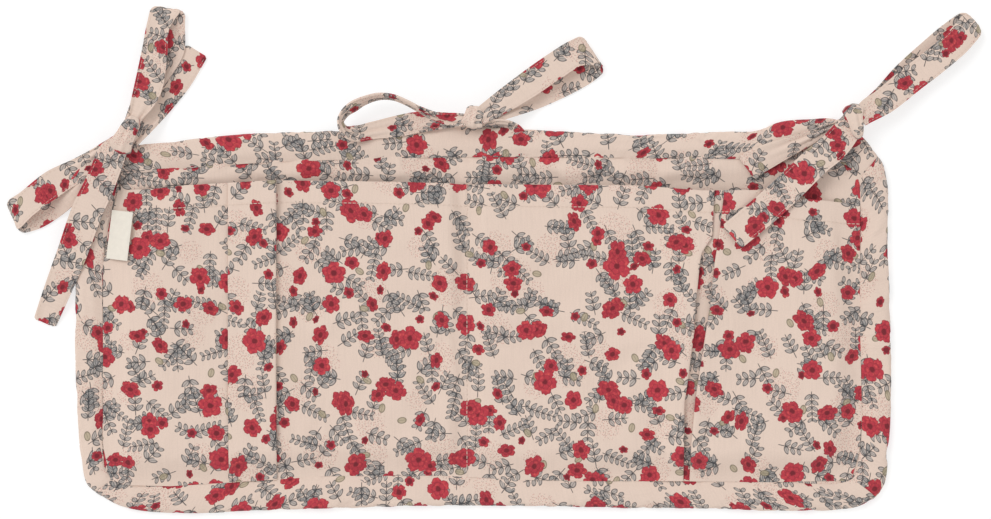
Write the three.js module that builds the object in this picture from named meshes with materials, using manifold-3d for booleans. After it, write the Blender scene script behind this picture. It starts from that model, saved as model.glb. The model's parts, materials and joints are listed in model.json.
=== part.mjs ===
// A bedside caddy of printed cotton: a padded panel with bound edges, a pleated pocket row and
// three tape ties knotted in bows. It lies on its back, in millimetres: +X along the panel,
// +Y towards the edge with the ties, +Z out of the front.
import * as THREE from 'three';
import { mergeVertices } from 'three/addons/utils/BufferGeometryUtils.js';
import Module from 'manifold-3d';

const wasm = await Module();
wasm.setup();

// Driving dimensions
const panel = { width: 600, height: 280 };
const cloth = { thickness: 0.6, gap: 0.3 };
const wadding = { thickness: 2.4 };
const pocket = { room: 7, slope: 24 };
const pleat = { tuck: 11, pitch: 1.1, ramp: 34 };
const tie = { width: 20, thickness: 1.6, lift: 9, ease: 2.4 };
const knot = { radius: 9.6, height: 12, level: 3 };
const label = { reach: 16, width: 36, thickness: 0.4, fold: 0.5, lift: 2 };
const trim = { overrun: 6 };

// The panel as the photograph shows it, in pixels: its own extent, and the middle of the whole
// object with its bows, which is the origin
const photo = { left: 75.5, right: 890.5, top: 131.5, bottom: 511.5, middle: [495.6, 259.1] };
const acrossPerPixel = panel.width / (photo.right - photo.left);
const upPerPixel = panel.height / (photo.bottom - photo.top);

const across = (px) => (px - photo.middle[0]) * acrossPerPixel;
const up = (py) => (photo.middle[1] - py) * upPerPixel;
const place = ([px, py]) => new THREE.Vector2(across(px), up(py));

// Outer edge of the panel, clockwise from the top left corner
const edgePixels = [
  [104, 147], [141, 145], [204, 138.6], [248, 135], [333, 132], [430, 131.5], [524, 131],
  [640, 135], [730, 132], [756, 130.6], [781, 122.4], [808, 120], [835, 120], [860, 136],
  [876, 154.5], [885, 168], [888.5, 260], [889.6, 300], [890.6, 399], [887.7, 448],
  [882.7, 488], [865, 503.6], [837, 508.6], [778, 510], [699, 507.6], [620, 507],
  [477, 504.7], [330, 507.5], [180, 512], [137.5, 509], [111.7, 501.5], [94.4, 491],
  [85.8, 481], [79, 438], [76.4, 386], [75.5, 334], [76.5, 263], [84, 210], [93, 172],
  [97, 155],
];

// Inner seams of the top band and the three borders, the same way round
const seamPixels = [
  [119, 176], [148, 172], [248, 163.6], [333, 160], [481, 157], [640, 158], [736, 159],
  [800, 160], [846, 165], [858, 178], [860.5, 206], [860, 320], [862, 418], [859, 458],
  [852, 479], [770, 482], [685, 481], [600, 481], [516, 479.6], [443, 475.5], [326, 476],
  [227, 482.5], [170, 486], [125, 485], [106.5, 472], [103, 455], [103, 360], [103, 263],
  [111.8, 209.8], [116, 188],
];

// Mitred ends of the band and borders: inner corner, outer corner
const mitrePixels = {
  topLeft: [[118, 177], [96, 148]],
  topRight: [[856, 181], [880, 155]],
  bottomRight: [[853, 478], [878, 499]],
  bottomLeft: [[112, 479], [90, 499]],
};

// Seams and folds of the pocket row
const pocketTopPixels = [
  [95, 191], [118, 190.5], [148, 189.5], [204, 186], [274, 182], [407, 183], [468, 184.8],
  [640, 187], [700, 192], [756, 191.6], [797, 200], [857, 204], [870, 205],
];
const pocketBottomPixels = [
  [95, 470], [103, 470], [110, 480], [125, 485], [170, 486], [227, 482.5], [326, 476],
  [443, 475.5], [516, 479.6], [600, 481], [685, 481], [770, 482], [846, 480.5], [854, 476],
  [870, 470],
];
const leftSeamPixels = [[185, 118], [209.8, 111.8], [263, 103], [455, 103], [486, 112]];
const rightSeamPixels = [[185, 860], [320, 860], [418, 862], [458, 859], [486, 851]];
const centreSeamPixel = 467;
const boxPleatPixels = { left: 229.5, right: 277 };
const innerFoldPixels = [
  [190, 713], [259, 698.6], [303, 694.5], [329, 693], [368, 688], [400, 683.6], [490, 683],
];
const outerFoldPixels = [
  [190, 723], [233, 718], [257, 714], [303, 709], [329, 705], [368, 699], [395, 695],
  [438, 691], [490, 689.5],
];

// Heights of the layers, from the surface that the panel lies on
const backLow = cloth.thickness + cloth.gap;
const waddingLow = backLow + cloth.thickness + cloth.gap;
const liningLow = waddingLow + wadding.thickness + cloth.gap;
const liningTop = liningLow + cloth.thickness;
const lipLow = liningTop + cloth.gap;
const panelTop = lipLow + cloth.thickness;

// Colours and finishes
const printedCotton = { color: 0xe8c8ba, roughness: 0.92, metalness: 0 };
const tapeCotton = { color: 0xe3c1b2, roughness: 0.92, metalness: 0 };
const plainCotton = { color: 0xe9d5c6, roughness: 0.95, metalness: 0 };
const polyesterFleece = { color: 0xf3f0ea, roughness: 1, metalness: 0 };
const wovenSatin = { color: 0xf0ebdc, roughness: 0.7, metalness: 0 };

const caddy = new THREE.Group();

function add(name, geometry, finish) {
  const mesh = new THREE.Mesh(geometry, new THREE.MeshStandardMaterial(finish));
  mesh.name = name;
  caddy.add(mesh);
  return mesh;
}

// Solids from closed meshes, and back
function toSolid(geometry) {
  const bare = geometry.clone();
  bare.deleteAttribute('normal');
  bare.deleteAttribute('uv');
  const merged = mergeVertices(bare);
  const vertProperties = Float32Array.from(merged.attributes.position.array);
  const triVerts = Uint32Array.from(merged.index.array);
  return new wasm.Manifold(new wasm.Mesh({ numProp: 3, vertProperties, triVerts }));
}

function toGeometry(solid) {
  const { vertProperties, triVerts } = solid.getMesh();
  const geometry = new THREE.BufferGeometry();
  geometry.setAttribute('position', new THREE.BufferAttribute(vertProperties, 3));
  geometry.setIndex(new THREE.BufferAttribute(triVerts, 1));
  geometry.computeVertexNormals();
  return geometry;
}

// A closed body from points and triangles, turned so that its faces look outwards
function body(points, triangles) {
  const volume = triangles.reduce((sum, [a, b, c]) => {
    const normal = new THREE.Vector3().crossVectors(points[b], points[c]);
    return sum + points[a].dot(normal);
  }, 0);
  const facing = volume > 0 ? triangles : triangles.map(([a, b, c]) => [a, c, b]);
  const geometry = new THREE.BufferGeometry().setFromPoints(points);
  geometry.setIndex(facing.flat());
  geometry.computeVertexNormals();
  return geometry;
}

function slab(outline, low, high) {
  const depth = high - low;
  const flat = new THREE.ExtrudeGeometry(new THREE.Shape(outline), { depth, bevelEnabled: false });
  return toSolid(flat.translate(0, 0, low));
}

// Outlines
function smoothOutline(pixels, steps) {
  const points = pixels.map(place).map((p) => new THREE.Vector3(p.x, p.y, 0));
  const curve = new THREE.CatmullRomCurve3(points, true, 'centripetal');
  return curve.getSpacedPoints(steps).slice(0, steps).map((p) => new THREE.Vector2(p.x, p.y));
}

function inset(outline, distance) {
  const turn = THREE.ShapeUtils.isClockWise(outline) ? 1 : -1;
  return outline.map((point, i) => {
    const before = outline[(i + outline.length - 1) % outline.length];
    const after = outline[(i + 1) % outline.length];
    const along = new THREE.Vector2().subVectors(after, before).normalize();
    return new THREE.Vector2(along.y, -along.x).multiplyScalar(turn * distance).add(point);
  });
}

// The value of a table of [key, value] pairs at a key between them
function read(table, key) {
  const next = table.findIndex((row) => row[0] >= key);
  if (next < 0) return table.at(-1)[1];
  if (next === 0) return table[0][1];
  const [[lowKey, lowValue], [highKey, highValue]] = table.slice(next - 1, next + 1);
  return lowValue + ((highValue - lowValue) * (key - lowKey)) / (highKey - lowKey);
}

const edge = smoothOutline(edgePixels, 150);
const seam = smoothOutline(seamPixels, 130);

// Sheets inside the bound edge: backing cloth, padding and the lining behind the pockets
const filling = inset(edge, cloth.thickness + cloth.gap);
const backTop = backLow + cloth.thickness;
const waddingTop = waddingLow + wadding.thickness;
add('back_panel', toGeometry(slab(filling, backLow, backTop)), plainCotton);
add('wadding', toGeometry(slab(filling, waddingLow, waddingTop)), polyesterFleece);
add('front_lining', toGeometry(slab(filling, liningLow, liningTop)), printedCotton);

// Bindings: a strip folded round the edge, cut into four at the mitres
const wrapped = slab(edge, 0, panelTop)
  .subtract(slab(inset(edge, cloth.thickness), cloth.thickness, lipLow))
  .subtract(slab(seam, -trim.overrun, panelTop + trim.overrun));

// The stretch between two mitres, reaching past the edge on the outside
function stretch([innerA, outerA], [innerB, outerB]) {
  const corners = [innerA, outerA, outerB, innerB].map(place);
  const [inA, outA, outB, inB] = corners;
  const farA = outA.clone().sub(inA).setLength(panel.height).add(inA);
  const farB = outB.clone().sub(inB).setLength(panel.height).add(inB);
  return [inA, farA, farB, inB];
}

const bindings = {
  top_band: stretch(mitrePixels.topLeft, mitrePixels.topRight),
  right_binding: stretch(mitrePixels.topRight, mitrePixels.bottomRight),
  bottom_binding: stretch(mitrePixels.bottomRight, mitrePixels.bottomLeft),
  left_binding: stretch(mitrePixels.bottomLeft, mitrePixels.topLeft),
};

// Moves the mitred ends of a stretch apart and its inner side past the seam
function openEnds([inA, farA, farB, inB]) {
  const alongA = farA.clone().sub(inA).normalize();
  const alongB = farB.clone().sub(inB).normalize();
  const apartA = new THREE.Vector2(alongA.y, -alongA.x).multiplyScalar(cloth.gap / 2);
  const apartB = new THREE.Vector2(-alongB.y, alongB.x).multiplyScalar(cloth.gap / 2);
  const deepA = alongA.clone().multiplyScalar(-trim.overrun);
  const deepB = alongB.clone().multiplyScalar(-trim.overrun);
  return [
    inA.clone().add(apartA).add(deepA),
    farA.clone().add(apartA),
    farB.clone().add(apartB),
    inB.clone().add(apartB).add(deepB),
  ];
}

for (const [name, outline] of Object.entries(bindings)) {
  const ends = slab(openEnds(outline), -trim.overrun, panelTop + trim.overrun);
  add(name, toGeometry(wrapped.intersect(ends)), printedCotton);
}

// The pocket row: one cloth sewn to the lining at its sides, foot and centre seam, open at the
// top, with a box pleat on the left and an inverted pleat on the right
const smooth = (t) => THREE.MathUtils.smoothstep(t, 0, 1);

function pocketRise(x, y) {
  const py = photo.middle[1] - y / upPerPixel;
  const px = photo.middle[0] + x / acrossPerPixel;
  const fromLeft = x - across(read(leftSeamPixels, py));
  const fromRight = across(read(rightSeamPixels, py)) - x;
  const fromCentre = Math.abs(x - across(centreSeamPixel));
  const fromFoot = y - up(read(pocketBottomPixels, px));
  const nearest = [fromLeft, fromRight, fromCentre, fromFoot];
  return pocket.room * nearest.reduce((rise, d) => rise * smooth(d / pocket.slope), 1);
}

// A pleat's outer face lies on two more layers of the cloth
const topLayer = 2;

// A turn of the cloth at a fold, from one layer to the next: heading is 1 where it runs right
const turnAngles = [-90, -30, 30, 90].map(THREE.MathUtils.degToRad);

function turn(fold, heading, from, to) {
  const radius = pleat.pitch / 2;
  return turnAngles.map((angle) => ({
    x: fold - heading * radius * (1 - Math.cos(angle)),
    layer: (from + to) / 2 + ((to - from) / 2) * Math.sin(angle),
  }));
}

function run(from, to, steps, layerAt) {
  return Array.from({ length: steps }, (_, i) => {
    const x = from + ((to - from) * (i + 1)) / (steps + 1);
    return { x, layer: layerAt(x) };
  });
}

// The cloth's section at one height, from the left seam to the right one
function pocketSection(y) {
  const py = photo.middle[1] - y / upPerPixel;
  const boxLeft = across(boxPleatPixels.left);
  const boxRight = across(boxPleatPixels.right);
  const innerFold = across(read(innerFoldPixels, py));
  const outerFold = across(read(outerFoldPixels, py));
  const start = across(read(leftSeamPixels, py)) - trim.overrun;
  const end = across(read(rightSeamPixels, py)) + trim.overrun;
  const flat = () => 0;
  const onTop = () => topLayer;
  const rising = (x) => topLayer * smooth(1 - (innerFold - x) / pleat.ramp);
  const falling = (x) => topLayer * smooth(1 - (x - outerFold) / pleat.ramp);
  return [
    { x: start, layer: 0 },
    ...run(start, boxLeft + pleat.tuck, 6, flat),
    ...turn(boxLeft + pleat.tuck, 1, 0, 1),
    ...turn(boxLeft, -1, 1, 2),
    ...run(boxLeft, boxRight, 1, onTop),
    ...turn(boxRight, 1, 2, 1),
    ...turn(boxRight - pleat.tuck, -1, 1, 0),
    ...run(boxRight - pleat.tuck, across(centreSeamPixel), 6, flat),
    { x: across(centreSeamPixel), layer: 0 },
    ...run(across(centreSeamPixel), innerFold, 7, rising),
    ...turn(innerFold, 1, 2, 1),
    ...turn(innerFold - pleat.tuck, -1, 1, 0),
    ...run(innerFold - pleat.tuck, outerFold + pleat.tuck, 1, flat),
    ...turn(outerFold + pleat.tuck, 1, 0, 1),
    ...turn(outerFold, -1, 1, 2),
    ...run(outerFold, end, 6, falling),
    { x: end, layer: 0 },
  ];
}

// A sheet of one thickness from rows of points of its middle surface
function sheet(rows, thickness) {
  const columns = rows[0].length;
  const sides = [1, -1].map((side) => rows.flatMap((row) => row.map((point, i) => {
    const before = row[Math.max(i - 1, 0)];
    const after = row[Math.min(i + 1, columns - 1)];
    const along = new THREE.Vector3().subVectors(after, before).setY(0).normalize();
    const out = new THREE.Vector3(-along.z, 0, along.x);
    return out.multiplyScalar((side * thickness) / 2).add(point);
  })));
  const under = rows.length * columns;
  const triangles = [];
  const quad = (a, b, c, d) => triangles.push([a, b, c], [a, c, d]);
  const at = (j, i) => j * columns + i;
  for (let j = 0; j + 1 < rows.length; j += 1) {
    for (let i = 0; i + 1 < columns; i += 1) {
      quad(at(j, i), at(j, i + 1), at(j + 1, i + 1), at(j + 1, i));
      quad(under + at(j, i), under + at(j + 1, i), under + at(j + 1, i + 1), under + at(j, i + 1));
    }
  }
  const last = rows.length - 1;
  for (let i = 0; i + 1 < columns; i += 1) {
    quad(at(0, i), under + at(0, i), under + at(0, i + 1), at(0, i + 1));
    quad(at(last, i), at(last, i + 1), under + at(last, i + 1), under + at(last, i));
  }
  for (let j = 0; j < last; j += 1) {
    quad(at(j, 0), at(j + 1, 0), under + at(j + 1, 0), under + at(j, 0));
    const right = columns - 1;
    quad(at(j, right), under + at(j, right), under + at(j + 1, right), at(j + 1, right));
  }
  return body(sides.flat(), triangles);
}

// Rows from the foot to the open edge, as shares of the pocket's height
const rowShares = [0, 0.05, 0.1, 0.16, 0.4, 0.65, 0.88, 1];
const pocketMiddle = lipLow + cloth.thickness / 2;

const pocketRows = rowShares.map((share) => {
  const level = up(pocketBottomPixels[6][1]);
  const open = up(pocketTopPixels[5][1]);
  const section = pocketSection(level + share * (open - level));
  return section.map(({ x, layer }) => {
    const px = photo.middle[0] + x / acrossPerPixel;
    const foot = up(read(pocketBottomPixels, px)) - trim.overrun;
    const top = up(read(pocketTopPixels, px));
    const y = foot + share * (top - foot);
    return new THREE.Vector3(x, y, pocketMiddle + pocketRise(x, y) + layer * pleat.pitch);
  });
});

const pocketCloth = toSolid(sheet(pocketRows, cloth.thickness));
const insideSeams = slab(inset(seam, cloth.gap), 0, panelTop + pocket.room + trim.overrun);
add('pocket_panel', toGeometry(pocketCloth.intersect(insideSeams)), printedCotton);

// The level direction across a tape at each station. At the tip of a loop, where the route turns
// back over itself, the tape folds square to the loop.
function sidesOf(stations) {
  const level = (from, to) => new THREE.Vector3().subVectors(to.at, from.at).setZ(0).normalize();
  const turnsBack = (k) => {
    const inner = k > 0 && k + 1 < stations.length;
    return inner && level(stations[k - 1], stations[k]).dot(level(stations[k], stations[k + 1])) < 0;
  };
  const sides = stations.map((_, k) => {
    const way = level(stations[Math.max(k - 1, 0)], stations[Math.min(k + 1, stations.length - 1)]);
    return new THREE.Vector3(-way.y, way.x, 0);
  });
  stations.forEach((_, k) => {
    if (turnsBack(k)) sides[k].copy(sides[k - 1]);
    if (k > 0 && sides[k].dot(sides[k - 1]) < 0) sides[k].negate();
  });
  return sides;
}

// A tape's section in halves of its width and thickness: flat, with edges thinned to a line
const sectionOf = (slimShare) => [
  [1, 0], [slimShare, 1], [-slimShare, 1], [-1, 0], [-slimShare, -1], [slimShare, -1],
];

// A tape along a smooth route through stations of place, width and tilt
function tape(stations, thickness, steps) {
  const curve = new THREE.CatmullRomCurve3(stations.map((s) => s.at), false, 'centripetal');
  const sides = sidesOf(stations);
  const spans = stations.length - 1;
  const points = [];
  for (let k = 0; k <= steps; k += 1) {
    const t = k / steps;
    const first = Math.min(Math.floor(t * spans), spans - 1);
    const share = t * spans - first;
    const between = (key) => THREE.MathUtils.lerp(stations[first][key], stations[first + 1][key], share);
    const along = curve.getTangent(t);
    const side = sides[first].clone().lerp(sides[first + 1], share).normalize();
    const tilt = THREE.MathUtils.degToRad(between('tilt'));
    const out = new THREE.Vector3().crossVectors(along, side).normalize();
    const wide = side.clone().applyAxisAngle(along, tilt).multiplyScalar(between('width') / 2);
    const thick = out.applyAxisAngle(along, tilt).multiplyScalar(thickness / 2);
    const section = sectionOf(1 - (2 * thickness) / between('width'));
    const middle = curve.getPoint(t);
    middle.z = Math.max(middle.z, thickness / 2);
    section.forEach(([w, h]) => {
      const point = middle.clone().addScaledVector(wide, w).addScaledVector(thick, h);
      points.push(point.setZ(Math.max(point.z, 0)));
    });
  }
  const ring = points.length / (steps + 1);
  const triangles = [];
  for (let k = 0; k < steps; k += 1) {
    for (let c = 0; c < ring; c += 1) {
      const a = k * ring + c;
      const b = k * ring + ((c + 1) % ring);
      triangles.push([a, b, b + ring], [a, b + ring, a + ring]);
    }
  }
  const end = steps * ring;
  for (let c = 1; c + 1 < ring; c += 1) {
    triangles.push([0, c + 1, c], [end, end + c, end + c + 1]);
  }
  return body(points, triangles);
}

// Heights of a tape's middle: on the surface below, on the band, above it, over the pocket row
const onFloor = tie.thickness / 2;
const onPanel = panelTop + cloth.gap + tie.thickness / 2;
const overPanel = onPanel + tie.ease;
const pleatTop = lipLow + pocket.room + topLayer * pleat.pitch + cloth.thickness;
const onPleat = pleatTop + cloth.gap + tie.thickness / 2;
const knotMiddle = onPanel + tie.thickness / 2 + cloth.gap + knot.height / 2;
const knotLow = knotMiddle - knot.level;
const knotHigh = knotMiddle + knot.level;
const loopTop = tie.lift + onFloor;

const knotPixels = { left: [127, 136], centre: [473, 121], right: [853, 122] };

// A tape's stations from its pixels, heights, shares of the full width and any tilts
function stationsFrom(pixels, heights, widthShares, tilts) {
  return pixels.map(([px, py], k) => ({
    at: new THREE.Vector3(across(px), up(py), heights[k]),
    width: widthShares[k] * tie.width,
    tilt: tilts ? tilts[k] : 0,
  }));
}

// The place just outside a knot where a tape leaves it, drawn in, on the way to its next station
const rootShare = 0.38;

function root(name, next, height) {
  const [side] = name.split('_');
  const middle = place(knotPixels[side]);
  const way = new THREE.Vector2(next.at.x, next.at.y).sub(middle).normalize();
  const level = Math.max(Math.abs(height - knotMiddle) - tie.thickness / 2, 0);
  const knotReach = knot.radius * Math.sqrt(1 - ((2 * level) / knot.height) ** 2);
  const at = way.clone().multiplyScalar(knotReach + cloth.gap).add(middle);
  const width = rootShare * tie.width;
  return { at: new THREE.Vector3(at.x, at.y, height), width, tilt: 0, way };
}

// A tape that swings up from its knot about the top of its last root, across its direction
const stepsPerSpan = 4;

function addTape(name, stations, top) {
  const steps = stepsPerSpan * (stations.length - 1);
  const mesh = add(name, tape(stations, tie.thickness, steps), tapeCotton);
  const { at, way } = top;
  mesh.userData.hinge = { pos: [at.x, at.y, at.z + tie.thickness / 2], axis: [way.y, -way.x, 0] };
}

for (const [side, pixel] of Object.entries(knotPixels)) {
  const ball = new THREE.SphereGeometry(1, 14, 8).rotateX(Math.PI / 2);
  ball.scale(knot.radius, knot.radius, knot.height / 2);
  ball.translate(across(pixel[0]), up(pixel[1]), knotMiddle);
  add(`${side}_tie_knot`, toGeometry(toSolid(ball)), tapeCotton);
}

// Sewn bases of the ties, on the band and under the knots
const basePixels = {
  left: [[129, 132], [133, 150], [134.5, 170], [134.5, 185]],
  centre: [[470, 124], [490, 133], [508, 137], [530, 146]],
  right: [[853, 120], [851, 134], [848, 148], [846, 162]],
};

for (const [side, pixels] of Object.entries(basePixels)) {
  const heights = pixels.map(() => onPanel);
  const fullShares = pixels.map(() => 1);
  const stations = stationsFrom(pixels, heights, fullShares);
  add(`${side}_tie_base`, tape(stations, tie.thickness, 10), tapeCotton);
}

// Routes of the loops and ends, seen from above: each loop from one root round to the other
const routePixels = {
  left_tie_upper_loop: [
    [139, 104], [158, 76], [172, 48], [174, 27], [167, 8.7], [158, 27], [153, 52],
    [144, 88], [136, 112],
  ],
  left_tie_upper_end: [[158, 125], [177, 100], [190, 74], [198, 53]],
  left_tie_side_loop: [
    [99, 155], [76, 186], [50, 206], [26, 219], [9, 212], [24, 197], [54, 178], [84, 160],
    [106, 146],
  ],
  left_tie_long_end: [[120, 168], [103, 194], [85, 230], [69, 265], [58, 290], [44, 323]],
  centre_tie_left_loop: [
    [433, 124], [400, 127], [373, 130], [352, 131], [342, 122], [350, 108], [368, 98],
    [395, 98], [420, 108], [445, 114],
  ],
  centre_tie_right_loop: [
    [503, 112], [538, 97], [572, 81], [590, 69], [597, 56], [578, 52], [558, 64],
    [530, 84], [498, 104],
  ],
  right_tie_loop: [
    [882, 99], [908, 80], [932, 60], [958, 38], [976, 20.5], [955, 38], [929, 59],
    [904, 78], [880, 98],
  ],
  right_tie_long_end: [[835, 146], [812, 166], [788, 188], [760, 213], [731, 237]],
  right_tie_short_end: [[826, 130], [800, 141], [772, 153], [747, 166]],
};

// Heights of their middles
const routeHeights = {
  left_tie_upper_loop: [
    overPanel, onFloor, onFloor, onFloor, tie.lift / 2, tie.lift, loopTop, loopTop,
    knotMiddle,
  ],
  left_tie_upper_end: [overPanel, onFloor, onFloor, onFloor],
  left_tie_side_loop: [
    overPanel, overPanel, onFloor, onFloor, tie.lift / 2, tie.lift, loopTop,
    knotMiddle, knotMiddle,
  ],
  left_tie_long_end: [overPanel, overPanel, overPanel, overPanel, overPanel, onFloor],
  centre_tie_left_loop: [
    overPanel, overPanel, overPanel, overPanel + tie.ease, overPanel + tie.lift / 2,
    overPanel + tie.lift / 2, overPanel + tie.lift / 2, overPanel + tie.lift / 2,
    overPanel + tie.lift / 2, knotMiddle + knot.level / 2,
  ],
  centre_tie_right_loop: [
    knotLow, onFloor, onFloor, onFloor, tie.lift / 2, tie.lift, loopTop, loopTop,
    knotMiddle,
  ],
  right_tie_loop: [
    overPanel, onFloor, onFloor, onFloor, tie.lift / 2, tie.lift, loopTop, loopTop,
    knotMiddle,
  ],
  right_tie_long_end: [knotMiddle, onPleat, onPleat, onPleat, onPleat],
  right_tie_short_end: [overPanel, overPanel, onPanel, onPanel],
};

// Their widths, drawn in towards the knots, as shares of the tape's
const routeShares = {
  left_tie_upper_loop: [0.55, 0.65, 0.8, 0.9, 1, 0.85, 0.95, 0.9, 0.6],
  left_tie_upper_end: [0.55, 0.7, 0.8, 0.85],
  left_tie_side_loop: [0.55, 0.75, 0.9, 0.95, 1, 0.95, 0.95, 0.8, 0.55],
  left_tie_long_end: [0.65, 0.9, 1.05, 1.1, 1, 0.85],
  centre_tie_left_loop: [0.65, 0.75, 0.75, 0.7, 0.65, 0.65, 0.65, 0.65, 0.55, 0.4],
  centre_tie_right_loop: [0.6, 0.8, 0.9, 0.95, 1, 0.95, 0.95, 0.9, 0.55],
  right_tie_loop: [0.7, 0.95, 1, 1, 1, 1, 1, 0.95, 0.7],
  right_tie_long_end: [0.7, 1, 1.1, 1.15, 1.15],
  right_tie_short_end: [0.6, 0.85, 1, 1],
};

// Turns about the route, in degrees: the centre tie's left loop stands on its edge
const routeTilts = {
  centre_tie_left_loop: [0, 0, 0, 25, 70, 90, 90, 90, 80, 60],
};

const bowLoops = [
  'left_tie_upper_loop',
  'left_tie_side_loop',
  'centre_tie_left_loop',
  'centre_tie_right_loop',
  'right_tie_loop',
];

function stationsOf(name) {
  return stationsFrom(routePixels[name], routeHeights[name], routeShares[name], routeTilts[name]);
}

// Where a free end leaves its knot
const endRootHeights = {
  left_tie_upper_end: knotLow,
  left_tie_long_end: knotMiddle,
  right_tie_long_end: knotMiddle,
  right_tie_short_end: knotLow,
};

bowLoops.forEach((name) => {
  const stations = stationsOf(name);
  const start = root(name, stations[0], knotLow);
  const finish = root(name, stations.at(-1), knotHigh);
  addTape(name, [start, ...stations, finish], finish);
});

Object.entries(endRootHeights).forEach(([name, height]) => {
  const stations = stationsOf(name);
  const start = root(name, stations[0], height);
  addTape(name, [start, ...stations], start);
});

// Woven label: a short band folded in half, its two ends caught in the left border's seam
const labelPixels = { low: [106, 258.4], high: [111.8, 209.8] };
const labelFoot = place(labelPixels.low);
const labelHead = place(labelPixels.high);
const labelUp = labelHead.clone().sub(labelFoot).normalize();
const labelOut = new THREE.Vector2(labelUp.y, -labelUp.x);
const labelMiddle = labelFoot.clone().add(labelHead).multiplyScalar(1 / 2);
const labelShares = [0.06, 0.3, 0.6, 0.9, 1, 0.9, 0.6, 0.3, 0.06];
const labelPitch = label.thickness + label.fold;

const labelStations = labelShares.map((share, i) => {
  const reach = labelOut.clone().multiplyScalar(share * label.reach);
  const x = labelMiddle.x + reach.x;
  const y = labelMiddle.y + reach.y;
  const half = (labelShares.length - 1) / 2;
  const layer = (1 + Math.sign(i - half)) / 2;
  const under = lipLow + cloth.thickness / 2 + pocketRise(x, y);
  const height = under + label.lift + layer * labelPitch;
  return { at: new THREE.Vector3(x, y, height), width: label.width, tilt: 0 };
});
const labelMesh = add('woven_label', tape(labelStations, label.thickness, 24), wovenSatin);
const labelRoot = labelStations.at(-1).at;
labelMesh.userData.hinge = {
  pos: [labelRoot.x, labelRoot.y, labelRoot.z + label.thickness / 2],
  axis: [-labelUp.x, -labelUp.y, 0],
};

export default caddy;
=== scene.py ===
"""A bedside caddy in printed cotton: a padded panel with bound edges, a pleated pocket row with
two pockets, three tape ties in bows and a bare woven label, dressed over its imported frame."""

import json
import math

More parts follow.
